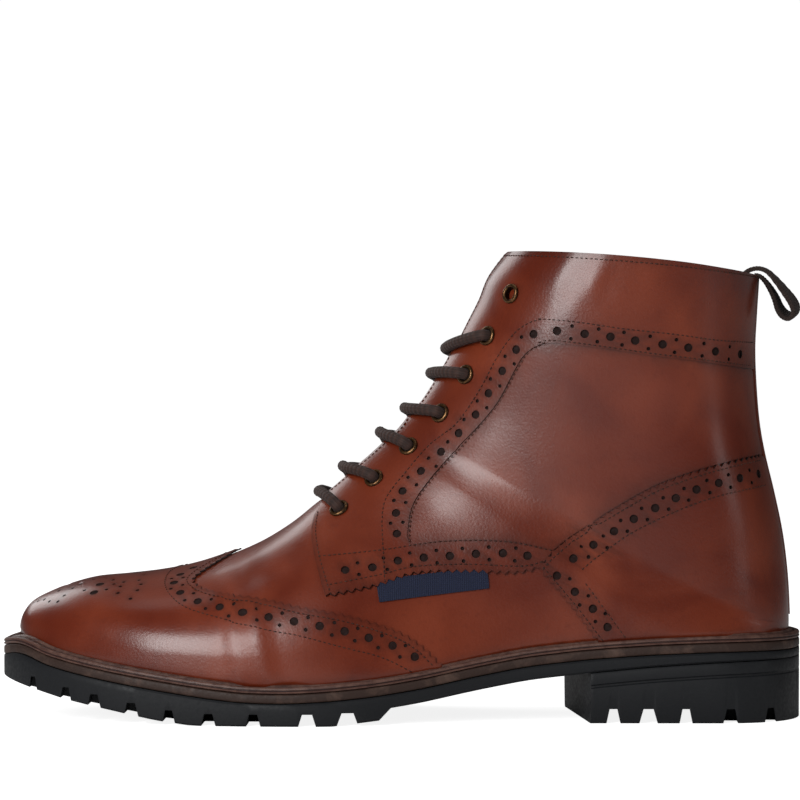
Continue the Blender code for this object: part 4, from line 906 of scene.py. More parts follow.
for sideName, side in sides.items():
    suffix = sideName.capitalize()
    # Facing, brogue band, lower band and collar band are one cut piece
    seamRows = np.linspace(lastRow, locate([brogue["collarUnder"][-1]], side)[0, 0], 30)
    collarSeam = np.column_stack([seamRows, seamColumn(seamRows, side, .0022)])
    under = pathOn(brogue["collarUnder"], side)[::-1]
    under = under[np.abs(under[:, 1]) < np.abs(collarSeam[-1, 1]) - .002]
    facingLow = pinked(brogue["facingLow"], side)
    bandOutline = chain(
        throatPath(side, .008, 13.0)[::-1], pathOn(brogue["facingFront"], side), facingLow,
        pathOn([brogue["facingLow"][-1], brogue["bandBack"][0]], side), pathOn(brogue["bandBack"], side), under[::-1],
        collarSeam[::-1], straight((lastRow, collarSeam[0, 1]), (lastRow, throatColumn(lastRow, side, .008)[0]), 80))
    bandHoles = [h for h in holesOf("facing", side)]
    eyeSpots = locate([(.428, .446), (.471, .511), (.514, .580), (.554, .653), (.586, .737), (.613, .820), (.642, .910)],
                      side)
    bores = [(r, c, .0026, 16) for r, c in eyeSpots]
    bandHoles = withinPanel(bores + bandHoles, bandOutline, .0005)
    facing = cutPanel("facing" + suffix, bandOutline, *levels["band"], leatherBand, leatherRim, holes=bandHoles)
    dress(facing, "facing_" + sideName)
    noteHoles([h for h in bandHoles if h[2] < .002], levels["band"][0] + .0003)
    # Quarter: smooth ankle panel inside the bands
    quarterRows = np.linspace(seamRows[-1] - .2, locate([brogue["counterTop"][-1]], side)[0, 0], 40)
    quarterSeam = np.column_stack([quarterRows, seamColumn(quarterRows, side, .0022)])
    counterTop = pinked(brogue["counterTop"], side)
    counterTop = counterTop[np.abs(counterTop[:, 1]) < np.abs(quarterSeam[-1, 1]) - .002]
    plainTop = pathOn(brogue["counterTop"], side)
    plainTop = plainTop[np.abs(plainTop[:, 1]) < np.abs(quarterSeam[-1, 1]) - .002]
    quarterOutline = chain(
        pathOn(brogue["bandBack"], side), under[::-1], quarterSeam, parallel(plainTop[3:], -.0006 * side)[::-1])
    quarter = cutPanel("quarter" + suffix, quarterOutline, *levels["quarter"], leatherUpper, leatherRim)
    dress(quarter, "quarter_" + sideName)
    # Counter round the heel
    counterFront = pinked(brogue["counterFront"], side)
    counterFront[-1, 1] = side
    bottomRow = counterFront[-1, 0]
    heelRows = np.linspace(boot["cornerRow"] + .05, quarterRows[-1], 60)
    heelSeam = np.column_stack([heelRows, seamColumn(heelRows, side, .0022)])
    counterOutline = chain(
        counterTop, heelSeam[::-1], straight((boot["cornerRow"] - .02, side * .985), (bottomRow, side), 90),
        counterFront[::-1])
    counterHoles = withinPanel(holesOf("counter", side), counterOutline)
    counter = cutPanel("counter" + suffix, counterOutline, *levels["band"], leatherBand, leatherRim, holes=counterHoles)
    dress(counter, "counter_" + sideName)
    noteHoles(counterHoles, levels["band"][0] + .0003)
    print(sideName, "panels", len(facing.data.polygons), len(quarter.data.polygons), len(counter.data.polygons))
    for part, lift in (("facing", levels["band"][1]), ("counter", levels["band"][1]), ("wing", levels["wing"][1])):
        seamRuns += [(locate(rounded(run, 6), side), lift) for run in brogue["seams"][part]]
    seamRuns.append((throatPath(side, .0105, 13.2, lastRow - .25), levels["band"][1]))
    seamRuns.append((parallel(pathOn(brogue["wingEdge"], side, .002), .0024 * side)[4:-2], levels["wing"][1]))
    seamRuns.append((parallel(pathOn(brogue["facingFront"], side, .002), -.0019 * side), levels["band"][1]))
    collarRow = lastRow - .27
    collarEnds = (throatColumn(collarRow, side, .0105)[0], seamColumn(collarRow, side, .004)[0])
    seamRuns.append((straight((collarRow, collarEnds[0]), (collarRow, collarEnds[1]), 70), levels["band"][1]))


# Sole edge: welt, midsole, rubber and heel follow one outline
sole = {"stations": 110, "gap": .0003, "weltThick": .0024, "midsoleThick": .0034, "waistRubber": .0050,
        "seatRubber": .0028, "lugDepth": .0046, "heelLift": .0046, "heelGroove": .0008, "heelStart": .722,
        "treadEnd": .482, "breastSkew": .12, "heelSlotDepth": .0055}
treadLine = [(0, .086), (.024, .075), (.089, .048), (.151, .028), (.205, .010), (.251, 0), (.420, 0), (.482, .012)]
treadSlots = [(.047, .008, .40), (.091, .011, .42), (.128, .013, .42), (.175, .014, .42), (.222, .012, .42),
              (.271, .014, .45), (.326, .014, .45), (.383, .017, 1.10), (.434, .020, 1.10)]
heelSlots = [(.768, .013, 1.10), (.812, .017, 1.10), (.859, .012, 1.10), (.908, .014, .45), (.958, .011, .45)]


def weltTop(share):
    # Height of the welt along the sole, its table eased a little at the toe
    table = lastRows[:boot["cornerRow"] + 1]
    nearby = [np.interp(np.abs(share + step - table[0, 0]) + table[0, 0], table[:, 0], table[:, 1])
              for step in (-.018, -.009, 0, .009, .018)]
    return np.mean(nearby, axis=0) * boot["shaft"]


def rubberTop(share):
    return weltTop(share) - sole["weltThick"] - sole["midsoleThick"] - 2 * sole["gap"]


def rubberLow(share):
    part = np.clip((share - sole["heelStart"]) / (1 - sole["heelStart"]), 0, 1)
    return rubberTop(share) - sole["waistRubber"] + (sole["waistRubber"] - sole["seatRubber"]) * part


def treadLow(share):
    tread = np.interp(share, [p[0] for p in treadLine], [p[1] for p in treadLine]) * boot["shaft"]
    return np.where(share > sole["treadEnd"], rubberLow(share), tread)


def soleLoop(start=0.0, count=None):
    # Points round the sole with their outward directions. It runs along the outer side and back along the inner one.
    count = count or sole["stations"]
    turn = np.linspace(0, np.pi, count)
    share = (1 - np.cos(turn)) / 2
    if start:
        share = start + (1 - start) * np.sin(turn / 2)
    outer = np.column_stack([(share - .5) * boot["length"], swing(share) - outlineHalf(share, -1)])
    inner = np.column_stack([(share - .5) * boot["length"], swing(share) + outlineHalf(share, 1)])
    loop = np.vstack([outer, inner[::-1][1:-1] if not start else inner[::-1][1:]])
    run = np.roll(loop, -1, axis=0) - np.roll(loop, 1, axis=0)
    away = np.column_stack([run[:, 1], -run[:, 0]])
    away /= np.maximum(np.linalg.norm(away, axis=1, keepdims=True), 1e-9)
    if np.sum(away * (loop - loop.mean(0))) < 0:
        away = -away
    return loop, away


def edgeStrip(name, profile, top, material, shades=None):
    # Sweeps a closed profile round the sole: (distance outwards, height over the layer's top) in millimetres
    loop, away = soleLoop()
    profile = np.array(profile) * .001
    share = loop[:, 0] / boot["length"] + .5
    height = top(share)
    rings = []
    for out, up in profile:
        spot = loop + away * out
        rings.append(np.column_stack([spot, height + up]))
    verts = np.array(rings).transpose(1, 0, 2).reshape(-1, 3)
    count, width = len(loop), len(profile)
    faces = []
    for i in range(count):
        j = (i + 1) % count
        for k in range(width):
            m = (k + 1) % width
            faces.append((i * width + k, i * width + m, j * width + m, j * width + k))
    shade = np.tile(np.array(shades if shades is not None else np.zeros(width)), count)
    piece = makeObject(name, verts, faces, [material], None, shade, sharp=55)
    return outwards(piece)


def outwards(piece):
    # Faces out, measured by the sign of the volume
    mesh = piece.data
    mesh.calc_loop_triangles()
    points = np.array([v.co for v in mesh.vertices])
    corners = points[np.array([t.vertices for t in mesh.loop_triangles])]
    if np.linalg.det(corners).sum() < 0:
        mesh.flip_normals()
    return piece


weltProfile = [(-9, -2.4), (-.25, -2.4), (.0, -2.15), (.02, -1.75), (-.35, -1.5), (-.35, -1.3), (.02, -1.05), (.0, -.5),
               (-.3, -.1), (-.9, .08), (-1.6, -.02), (-1.95, -.45), (-2.5, -.45), (-2.8, .15), (-3.2, .65),
               (-3.8, .8), (-4.4, .55), (-5.0, -.1), (-9, -.4)]
# Painted shade along the welt: darker in the groove on its outer face, in the stitch channel, underneath and where it
# runs in under the upper
weltShade = [.3, .3, 0, 0, 1, 1, 0, 0, 0, 0, .2, 1, 1, .1, 0, 0, .3, .6, .6]
welt = edgeStrip("stitchedWelt", weltProfile, weltTop, weltLeather, weltShade)
dress(welt, "welt")
midProfile = [(-14, -3.4), (-.6, -3.4), (-.15, -3.15), (.0, -2.6), (.0, -.7), (-.15, -.25), (-.5, 0), (-14, 0)]
midsole = edgeStrip("midsoleLayer", midProfile, lambda share: weltTop(share) - sole["weltThick"] - sole["gap"], midsoleLeather)
dress(midsole, "midsole")


def soleBlock(name, start, levelsDown, material, skew=0.0, crossCount=14):
    # A closed block from the outline: rings at each level, with a ruled top and bottom
    count = sole["stations"]
    turn = np.linspace(0, 1, count)
    share = (1 - np.cos(np.pi * turn)) / 2 if not start else start + (1 - start) * np.sin(turn * np.pi / 2)
    rows = []
    for level, inset in levelsDown:
        outerHalf = outlineHalf(share, -1)
        innerHalf = outlineHalf(share, 1)
        outerHalf = outerHalf - np.minimum(inset, outerHalf * .5) * np.minimum(1, outerHalf / max(inset, 1e-6))
        innerHalf = innerHalf - np.minimum(inset, innerHalf * .5) * np.minimum(1, innerHalf / max(inset, 1e-6))
        rows.append((level, outerHalf, innerHalf))
    verts, faces = [], []
    across = np.linspace(-1, 1, crossCount)
    across = np.sin(across * np.pi / 2)

    def addSkin(level, outerHalf, innerHalf):
        first = len(verts)
        for i in range(count):
            for a in across:
                y = swing(share[i]) + (a * outerHalf[i] if a < 0 else a * innerHalf[i])
                x = (share[i] - .5) * boot["length"]
                x -= skew * y * (1 - (share[i] - start) / (1 - start)) if skew else 0
                verts.append((x, y, float(level(np.array([x / boot["length"] + .5]))[0])))
        return first

    firsts = [addSkin(*row) for row in rows]
    width = crossCount
    for i in range(count - 1):
        for k in range(width - 1):
            a = firsts[0] + i * width + k
            faces.append((a, a + width, a + width + 1, a + 1))
            b = firsts[-1] + i * width + k
            faces.append((b, b + 1, b + width + 1, b + width))
    for upper, lower in zip(firsts, firsts[1:]):
        for i in range(count - 1):
            for k, flip in ((0, False), (width - 1, True)):
                a, b = upper + i * width + k, upper + (i + 1) * width + k
                c, d = lower + (i + 1) * width + k, lower + i * width + k
                faces.append((a, d, c, b) if not flip else (a, b, c, d))
        for k in range(width - 1):
            for i, flip in ((0, True), (count - 1, False)):
                a, b = upper + i * width + k, upper + i * width + k + 1
                c, d = lower + i * width + k + 1, lower + i * width + k
                faces.append((a, d, c, b) if not flip else (a, b, c, d))
    keys, index = weldSeams(verts, 1e-6)
    welded = [[int(index[i]) for i in face] for face in faces]
    clean = []
    for face in welded:
        kept = [v for n, v in enumerate(face) if v != face[n - 1]]
        if len(set(kept)) >= 3 and len(set(kept)) == len(kept):
            clean.append(kept)
    piece = makeObject(name, np.array(verts)[keys], clean, [material], sharp=35)
    recalc(piece)
    return piece


def recalc(piece):
    form = bmesh.new()
    form.from_mesh(piece.data)
    bmesh.ops.recalc_face_normals(form, faces=form.faces)
    form.to_mesh(piece.data)
    form.free()
    outwards(piece)


def cutSlots(piece, slots, top, depth):
    # Lugs: tapered slots from each side, or right across
    form = bmesh.new()
    for share, width, reach in slots:
        lean = ((share - .5) * boot["length"] - .0366) / 1.5 if reach > 1 else 0
        outer = float(max(outlineHalf(share, -1)[0], outlineHalf(share, 1)[0])) + .006
        spans = [(-outer, outer)] if reach > 1 else [(-outer, -outer * (1 - reach)), (outer * (1 - reach), outer)]
        height = float(top(np.array([share]))[0])
        for lowY, highY in spans:
            corners = []
            for up, spreadOut in ((0, .72), (-depth - .004, 1.75)):
                for sx, y in ((-1, lowY), (1, lowY), (1, highY), (-1, highY)):
                    x = (share - .5) * boot["length"] + sx * width * boot["length"] * .5 * spreadOut + lean * y
                    corners.append(form.verts.new((x, float(swing(share)) + y, height + up)))
            for face in ((0, 1, 2, 3), (7, 6, 5, 4), (0, 4, 5, 1), (1, 5, 6, 2), (2, 6, 7, 3), (3, 7, 4, 0)):
                form.faces.new([corners[i] for i in face])
    bmesh.ops.recalc_face_normals(form, faces=form.faces)
    mesh = bpy.data.meshes.new("slotCutter")
    form.to_mesh(mesh)
    form.free()
    cutter = bpy.data.objects.new("slotCutter", mesh)
    bpy.context.scene.collection.objects.link(cutter)
    boolean = piece.modifiers.new("slots", "BOOLEAN")
    boolean.operation, boolean.solver, boolean.object = "DIFFERENCE", "EXACT", cutter
    bevel = piece.modifiers.new("softEdges", "BEVEL")
    bevel.width, bevel.segments, bevel.limit_method, bevel.angle_limit = .00035, 2, "ANGLE", math.radians(38)
    bevel.use_clamp_overlap = True
    piece = plainCopy(piece, piece.name)
    bpy.data.objects.remove(cutter)
    piece.data.set_sharp_from_angle(angle=math.radians(32))
    return piece


def plainCopy(piece, name):
    # The evaluated mesh as a plain object, in place of the one with modifiers
    graph = bpy.context.evaluated_depsgraph_get()
    mesh = bpy.data.meshes.new_from_object(piece.evaluated_get(graph))
    copy = bpy.data.objects.new(name + "Mesh", mesh)
    bpy.context.scene.collection.objects.link(copy)
    bpy.data.objects.remove(piece)
    copy.name = name
    return copy


outsole = soleBlock("luggedOutsole", 0, [
    (rubberTop, .0006), (lambda s: rubberTop(s) - .0008, .0001), (lambda s: .5 * (rubberTop(s) + rubberLow(s)), .0001),
    (lambda s: treadLow(s) + .0007, .0003), (treadLow, .0010)], blackRubber)
outsole = cutSlots(outsole, treadSlots, lambda s: treadLow(s) + sole["lugDepth"], sole["lugDepth"])
dress(outsole, "outsole")
liftLow = lambda s: rubberLow(s) - sole["gap"] - sole["heelLift"]
heel = soleBlock("heelBlock", sole["heelStart"], [
    (lambda s: rubberLow(s) - sole["gap"], .0012), (lambda s: rubberLow(s) - .0011, .0008),
    (lambda s: liftLow(s) + .0003, .0008), (lambda s: liftLow(s) - .0001, .0016), (lambda s: liftLow(s) - .0008, .0016),
    (lambda s: liftLow(s) - .0012, .0008), (lambda s: s * 0 + .0012, .0018), (lambda s: s * 0, .0026)],
    heelRubber, skew=sole["breastSkew"])
heel = cutSlots(heel, heelSlots, lambda s: s * 0 + sole["heelSlotDepth"], sole["heelSlotDepth"])
dress(heel, "heel")
nodes["insole"].data.materials.clear()
nodes["insole"].data.materials.append(leatherInsole)
print("sole", len(outsole.data.polygons), len(heel.data.polygons))


# Strips and tubes along a path
def addUv(piece, uvs):
    layer = piece.data.uv_layers.new(name="UVMap")
    loops = np.empty(len(piece.data.loops), np.int32)
    piece.data.loops.foreach_get("vertex_index", loops)
    layer.data.foreach_set("uv", np.asarray(uvs, np.float32)[loops].ravel())


def gridFaces(rows, columns, start=0, closeRows=False, closeColumns=False):
    faces = []
    for i in range(rows if closeRows else rows - 1):
        for k in range(columns if closeColumns else columns - 1):
            j, m = (i + 1) % rows, (k + 1) % columns
            faces.append((start + i * columns + k, start + i * columns + m, start + j * columns + m, start + j * columns + k))
    return faces


def tube(name, points, radius, material, sidesRound=12, flatten=1.0, up=None):
    # A closed tube with parallel frames and its own UV map in metres
    points = np.asarray(points, float)
    run = np.gradient(points, axis=0)
    run /= np.linalg.norm(run, axis=1, keepdims=True)
    frameUp = np.cross(run[0], (0.31, 0.2, 0.93))
    frameUp /= np.linalg.norm(frameUp)
    length = np.concatenate([[0], np.cumsum(np.linalg.norm(np.diff(points, axis=0), axis=1))])
    angle = np.linspace(0, 2 * np.pi, sidesRound, endpoint=False)
    verts, uvs = [], []
    for i, point in enumerate(points):
        frameUp = frameUp - run[i] * (frameUp @ run[i])
        frameUp /= np.linalg.norm(frameUp)
        right = np.cross(run[i], frameUp)
        for a in angle:
            verts.append(point + radius * (np.cos(a) * frameUp + flatten * np.sin(a) * right))
            uvs.append((length[i], abs(a / np.pi - 1)))
    faces = gridFaces(len(points), sidesRound, closeColumns=True)
    faces += [tuple(range(sidesRound))[::-1], tuple(len(verts) - sidesRound + k for k in range(sidesRound))]
    piece = makeObject(name, verts, faces, [material], sharp=60)
    addUv(piece, uvs)
    return outwards(piece)


# Back strip of leather over the seam
stripRows = np.linspace(22.6, lastRow, 90)
stripHalf, stripColumns = .0034, 11
stripTurns = np.linspace(-1, 1, stripColumns)
stripPlaces = np.stack([np.column_stack([stripRows, seamColumn(stripRows, -1 if t <= 0 else 1, abs(t) * stripHalf)])
                        for t in stripTurns], axis=1)
stripFlat = stripPlaces.reshape(-1, 2)
crown = np.tile(1 - .25 * np.abs(stripTurns) ** 3, len(stripRows))
verts = list(onBoot(stripFlat, levels["strip"][1] * crown)[0])
verts += list(onBoot(stripFlat, np.full(len(stripFlat), levels["strip"][0]))[0])
stripHeight = np.repeat(lastPoint(stripRows, -1)[:, 2], stripColumns)
uvs = np.tile(np.column_stack([np.tile(stripTurns * stripHalf, len(stripRows)), stripHeight]), (2, 1))
half = len(verts) // 2
faces = gridFaces(len(stripRows), stripColumns)
faces += [tuple(reversed([i + half for i in f])) for f in gridFaces(len(stripRows), stripColumns)]
rim = ([k for k in range(stripColumns)] + [i * stripColumns + stripColumns - 1 for i in range(1, len(stripRows))]
       + [(len(stripRows) - 1) * stripColumns + k for k in range(stripColumns - 2, -1, -1)]
       + [i * stripColumns for i in range(len(stripRows) - 2, 0, -1)])
faces += [(a, b, b + half, a + half) for a, b in zip(rim[1:] + rim[:1], rim)]
backStrip = makeObject("backStrip", verts, faces, [stripLeather], sharp=50)
addUv(backStrip, uvs)
recalc(backStrip)
dress(backStrip, "back_strip")

# Pull loop: one strip of webbing, folded over the collar and doubled at its tip
loopLine = [(.9275, .900), (.9276, .925), (.9282, .945), (.9320, .958), (.9400, .9665), (.9505, .9685), (.9610, .961),
            (.9720, .9415), (.9820, .920), (.9905, .9005), (.9950, .884), (.9945, .870), (.9890, .8645), (.9810, .870),
            (.9750, .884), (.9710, .9025), (.9655, .921), (.9585, .939), (.9510, .9515), (.9440, .954)]
loopPath = rounded(loopLine, 6)
loopPoints = np.column_stack([(loopPath[:, 0] - .5) * boot["length"], loopPath[:, 1] * boot["shaft"]])
loopRun = np.gradient(loopPoints, axis=0)
loopRun /= np.linalg.norm(loopRun, axis=1, keepdims=True)
loopNormal = np.column_stack([loopRun[:, 1], -loopRun[:, 0]])
loopLean = smoothTable(np.array([(0, 0, 0), (5, .0005, .0005), (9, .0028, .0020), (13, .0030, .0022), (19, .0005, 0)]),
                       np.linspace(0, 19, len(loopPoints)))
loopLength = np.concatenate([[0], np.cumsum(np.linalg.norm(np.diff(loopPoints, axis=0), axis=1))])
verts, uvs = [], []
for i, point in enumerate(loopPoints):
    for y, t in ((-.0050, 0), (-.0047, .62), (-.0025, .72), (0, .74), (.0025, .72), (.0047, .62), (.0050, 0),
                 (.0047, -.62), (.0025, -.72), (0, -.74), (-.0025, -.72), (-.0047, -.62)):
        rib = 1 + .10 * math.sin(loopLength[i] * 2 * math.pi / .0011)
        place = point + loopNormal[i] * t * .00118 * rib
        turned = loopLean[i] * y / .0100
        verts.append((place[0] + turned[0], y, place[1] + turned[1]))
        uvs.append((y, loopLength[i]))
faces = gridFaces(len(loopPoints), 12, closeColumns=True)
faces += [tuple(range(12))[::-1], tuple(len(verts) - 12 + k for k in range(12))]
pullLoop = makeObject("pullLoop", verts, faces, [ribbedWebbing], sharp=60)
addUv(pullLoop, uvs)
recalc(pullLoop)
dress(pullLoop, "pull_loop")

# Side tab of plain navy tape
tabCorners = [(.4735, .303), (.6095, .332), (.6120, .286), (.4780, .258)]
tabOutline = chain(*[pathOn([tabCorners[i], tabCorners[(i + 1) % 4]], -1)[:-1] for i in range(4)])
sideTab = cutPanel("sideTab", tabOutline, *levels["tab"], navyWeave, navyWeave, spacing=.0015, roll=.0002)
tabPlaces = np.array([v.co for v in sideTab.data.vertices])
addUv(sideTab, tabPlaces[:, (0, 2)])
dress(sideTab, "side_tab")
print("strip, loop and tab")

# Tongue under the laces
tongue = {"low": -.0079, "high": -.0060, "half": .021, "first": 11.6}
tongueRows = np.linspace(tongue["first"], lastRow, 110)
tongueTurns = np.linspace(-1, 1, 25)
tonguePlaces = np.stack([np.column_stack([tongueRows, throatColumn(tongueRows, -1 if t < 0 else 1,
                                                                   abs(t) * tongue["half"] + .0001)])
                         for t in tongueTurns], axis=1).reshape(-1, 2)
verts = [point for lift in (tongue["high"], tongue["low"])
         for point in onBoot(tonguePlaces, np.full(len(tonguePlaces), lift))[0]]
# Painted shade along the tongue's sides, where they lie under the facings
shade = np.tile(np.maximum(0, np.abs(tongueTurns) - .8) * 3, 2 * len(tongueRows))
half = len(verts) // 2
faces = gridFaces(110, 25) + [tuple(reversed([i + half for i in f])) for f in gridFaces(110, 25)]
rim = ([k for k in range(25)] + [i * 25 + 24 for i in range(1, 110)] + [109 * 25 + k for k in range(23, -1, -1)]
       + [i * 25 for i in range(108, 0, -1)])
faces += [(a, b, b + half, a + half) for a, b in zip(rim[1:] + rim[:1], rim)]
tonguePiece = makeObject("laceTongue", verts, faces, [leatherUpper], None, shade, sharp=50)
recalc(tonguePiece)
dress(tonguePiece, "tongue")

# Eyelets: turned rings with a domed flange and a barrel
eyelet = {"flange": .0039, "bore": .00225, "rise": .0009, "places": [
    (.428, .446), (.471, .511), (.514, .580), (.554, .653), (.586, .737), (.613, .820), (.642, .910)]}
ringProfile = [(1.0, .05), (.985, .45), (.93, .78), (.84, .98), (.75, 1.0), (.67, .80), (.615, .40), (.59, -.4),
               (.575, -2.2), (.62, -2.2), (.65, -.3), (.70, -.05)]
# Painted shade: the flange's outer edge and the bore and barrel are darkened
ringShade = [.9, .25, 0, 0, 0, .05, .5, 1, 1, 1, 1, 1]
eyeletSpots = {}
for sideName, side in sides.items():
    spots = locate(eyelet["places"], side)
    for number, place in enumerate(spots, 1):
        middle, normal = onBoot([place], [levels["band"][1]])
        middle, normal = middle[0], normal[0]
        first = np.cross(normal, (0.2, 0.1, 1.0))
        first /= np.linalg.norm(first)
        second = np.cross(normal, first)
        eyeletSpots[sideName, number] = (place, middle, normal)
        verts, shade = [], []
        for angle in np.linspace(0, 2 * np.pi, 28, endpoint=False):
            arm = np.cos(angle) * first + np.sin(angle) * second
            for (reach, up), dark in zip(ringProfile, ringShade):
                verts.append(middle + arm * reach * eyelet["flange"] + normal * up * eyelet["rise"])
                shade.append(dark)
        ring = makeObject(f"eyelet{sideName.capitalize()}{number}", verts,
                          gridFaces(28, len(ringProfile), closeRows=True, closeColumns=True), [antiqueBrass], None, shade,
                          sharp=60)
        outwards(ring)
        dress(ring, f"eyelet_{sideName}_{number}")
print("eyelets")

# Lace: one run through twelve eyelets, down through each and up out of the throat
lace = {"radius": .0022, "over": .0041, "under": -.0039, "cross": .0020}
crossings = locate([(.404, .476), (.437, .524), (.483, .598), (.515, .654), (.549, .731), (.567, .785)], -1)


def laceStrand(fromSide, toSide, fromNumber, toNumber, above):
    # From under one facing, over the gap and the other facing, and down through its eyelet
    start, _, _ = eyeletSpots[fromSide, fromNumber]
    end, _, _ = eyeletSpots[toSide, toNumber]
    fs, ts = sides[fromSide], sides[toSide]
    ridgeRow = crossings[toNumber - 1][0]
    edgeFrom = throatColumn(ridgeRow, fs, .0075)[0]
    edgeTo = throatColumn(ridgeRow, ts, .0070)[0]
    rowFrom = start[0] * .55 + ridgeRow * .45
    stops = [((start[0], start[1]), -.0022), ((start[0] * .8 + rowFrom * .2, start[1] * .8 + edgeFrom * .2), -.0038),
             ((rowFrom, start[1] * .35 + edgeFrom * .65), lace["under"]), ((ridgeRow, edgeFrom * .95), -.0022),
             ((ridgeRow, edgeFrom * .45), .0006 + above), ((ridgeRow, 0.0), lace["cross"] + above),
             ((ridgeRow * .96 + end[0] * .04, edgeTo * .55), .0026 + above * .6),
             ((ridgeRow * .8 + end[0] * .2, edgeTo * .85 + end[1] * .15), .0037),
             ((ridgeRow * .45 + end[0] * .55, edgeTo * .45 + end[1] * .55), lace["over"]),
             ((ridgeRow * .12 + end[0] * .88, edgeTo * .10 + end[1] * .90), .0043), ((end[0], end[1]), .0031),
             ((end[0], end[1]), .0004)]
    return stops


def laceHalf(startSide):
    other = {"lateral": "medial", "medial": "lateral"}
    barRow = crossings[0][0]
    first = eyeletSpots[startSide, 1][0]
    edge = throatColumn(barRow, sides[startSide], .0070)[0]
    stops = [((barRow, 0.0), .0026), ((barRow, edge * .6), .0031),
             ((barRow * .8 + first[0] * .2, edge * .85 + first[1] * .15), .0037),
             ((barRow * .45 + first[0] * .55, edge * .45 + first[1] * .55), lace["over"]),
             ((barRow * .12 + first[0] * .88, edge * .10 + first[1] * .90), .0043), ((first[0], first[1]), .0031),
             ((first[0], first[1]), .0004)]
    side = startSide
    for number in range(1, 6):
        lifted = .0016 if (number % 2 == 0) == (startSide == "lateral") else -.0014
        stops += laceStrand(side, other[side], number, number + 1, lifted)
        side = other[side]
    last = eyeletSpots[side, 6][0]
    stops += [((last[0], last[1]), -.0025), ((last[0] + .12, last[1] * .95), -.0042), ((last[0] + .5, last[1] * .9), -.0043)]
    return stops


def laceLine():
    halves = []
    for startSide in ("lateral", "medial"):
        stops = laceHalf(startSide)
        places = np.array([s[0] for s in stops])
        halves.append(onBoot(places, [s[1] for s in stops])[0])
    points = np.vstack([halves[0][::-1], halves[1][1:]])
    table = np.column_stack([np.arange(len(points)), points])
    fine = smoothTable(table, np.linspace(0, len(points) - 1, (len(points) - 1) * 12 + 1))
    run = np.concatenate([[0], np.cumsum(np.linalg.norm(np.diff(fine, axis=0), axis=1))])
    even = np.linspace(0, run[-1], int(run[-1] / .0007))
    fine = np.column_stack([np.interp(even, run, fine[:, i]) for i in range(3)])
    for _ in range(3):
        fine[1:-1] = .25 * fine[:-2] + .5 * fine[1:-1] + .25 * fine[2:]
    return fine


laceTube = tube("lace", laceLine(), lace["radius"], laceWeave, 12)
dress(laceTube, [f"lace_{number}" for number in range(1, 7)])
print("lace", len(laceTube.data.polygons))


# Geometry Nodes: stitches along the seams, and dark discs of painted shade in the punched holes
def stitchTree():
    tree = bpy.data.node_groups.new("stitchRow", "GeometryNodeTree")
    socketOf(tree, "Seams", "Geometry")
    for label, value in (("Pitch", .0019), ("Stitch Length", .0014), ("Thread", .00048)):
        socketOf(tree, label, "Float", "INPUT", value)
    socketOf(tree, "Seed", "Int", "INPUT", 7)
    socketOf(tree, "Thread Material", "Material")
    socketOf(tree, "Stitches", "Geometry", "OUTPUT")
    given, result = tree.nodes.new("NodeGroupInput"), tree.nodes.new("NodeGroupOutput")
    curve = put(tree, "GeometryNodeMeshToCurve", {0: given.outputs["Seams"]})
    even = put(tree, "GeometryNodeResampleCurve", {"Curve": curve.outputs[0], "Length": given.outputs["Pitch"]}, mode="LENGTH")
    bead = put(tree, "GeometryNodeMeshUVSphere", {"Segments": 6, "Rings": 4, "Radius": .5})
    size = put(tree, "ShaderNodeCombineXYZ", {0: given.outputs["Stitch Length"], 1: given.outputs["Thread"],
                                              2: given.outputs["Thread"]})
    shaped = put(tree, "GeometryNodeTransform", {"Geometry": bead.outputs[0], "Scale": size.outputs[0]})
    up = put(tree, "GeometryNodeInputNamedAttribute", {"Name": "facing"}, data_type="FLOAT_VECTOR")
    along = put(tree, "FunctionNodeAlignRotationToVector", {"Vector": tree.nodes.new("GeometryNodeInputTangent").outputs[0]},
                axis="X")
    turned = put(tree, "FunctionNodeAlignRotationToVector", {"Rotation": along.outputs[0], "Vector": up.outputs[0]},
                 axis="Z", pivot_axis="X")
    vary = put(tree, "FunctionNodeRandomValue", {"Min": (.88, .9, .9), "Max": (1.08, 1.1, 1.1),
                                                 "Seed": given.outputs["Seed"]}, data_type="FLOAT_VECTOR")
    placed = put(tree, "GeometryNodeInstanceOnPoints", {"Points": even.outputs[0], "Instance": shaped.outputs[0],
                                                        "Rotation": turned.outputs[0], "Scale": vary.outputs[0]})
    real = put(tree, "GeometryNodeRealizeInstances", {0: placed.outputs[0]})
    smooth = put(tree, "GeometryNodeSetShadeSmooth", {0: real.outputs[0]})
    painted = put(tree, "GeometryNodeSetMaterial", {"Geometry": smooth.outputs[0], "Material": given.outputs["Thread Material"]})
    tree.links.new(painted.outputs[0], result.inputs[0])
    return tree
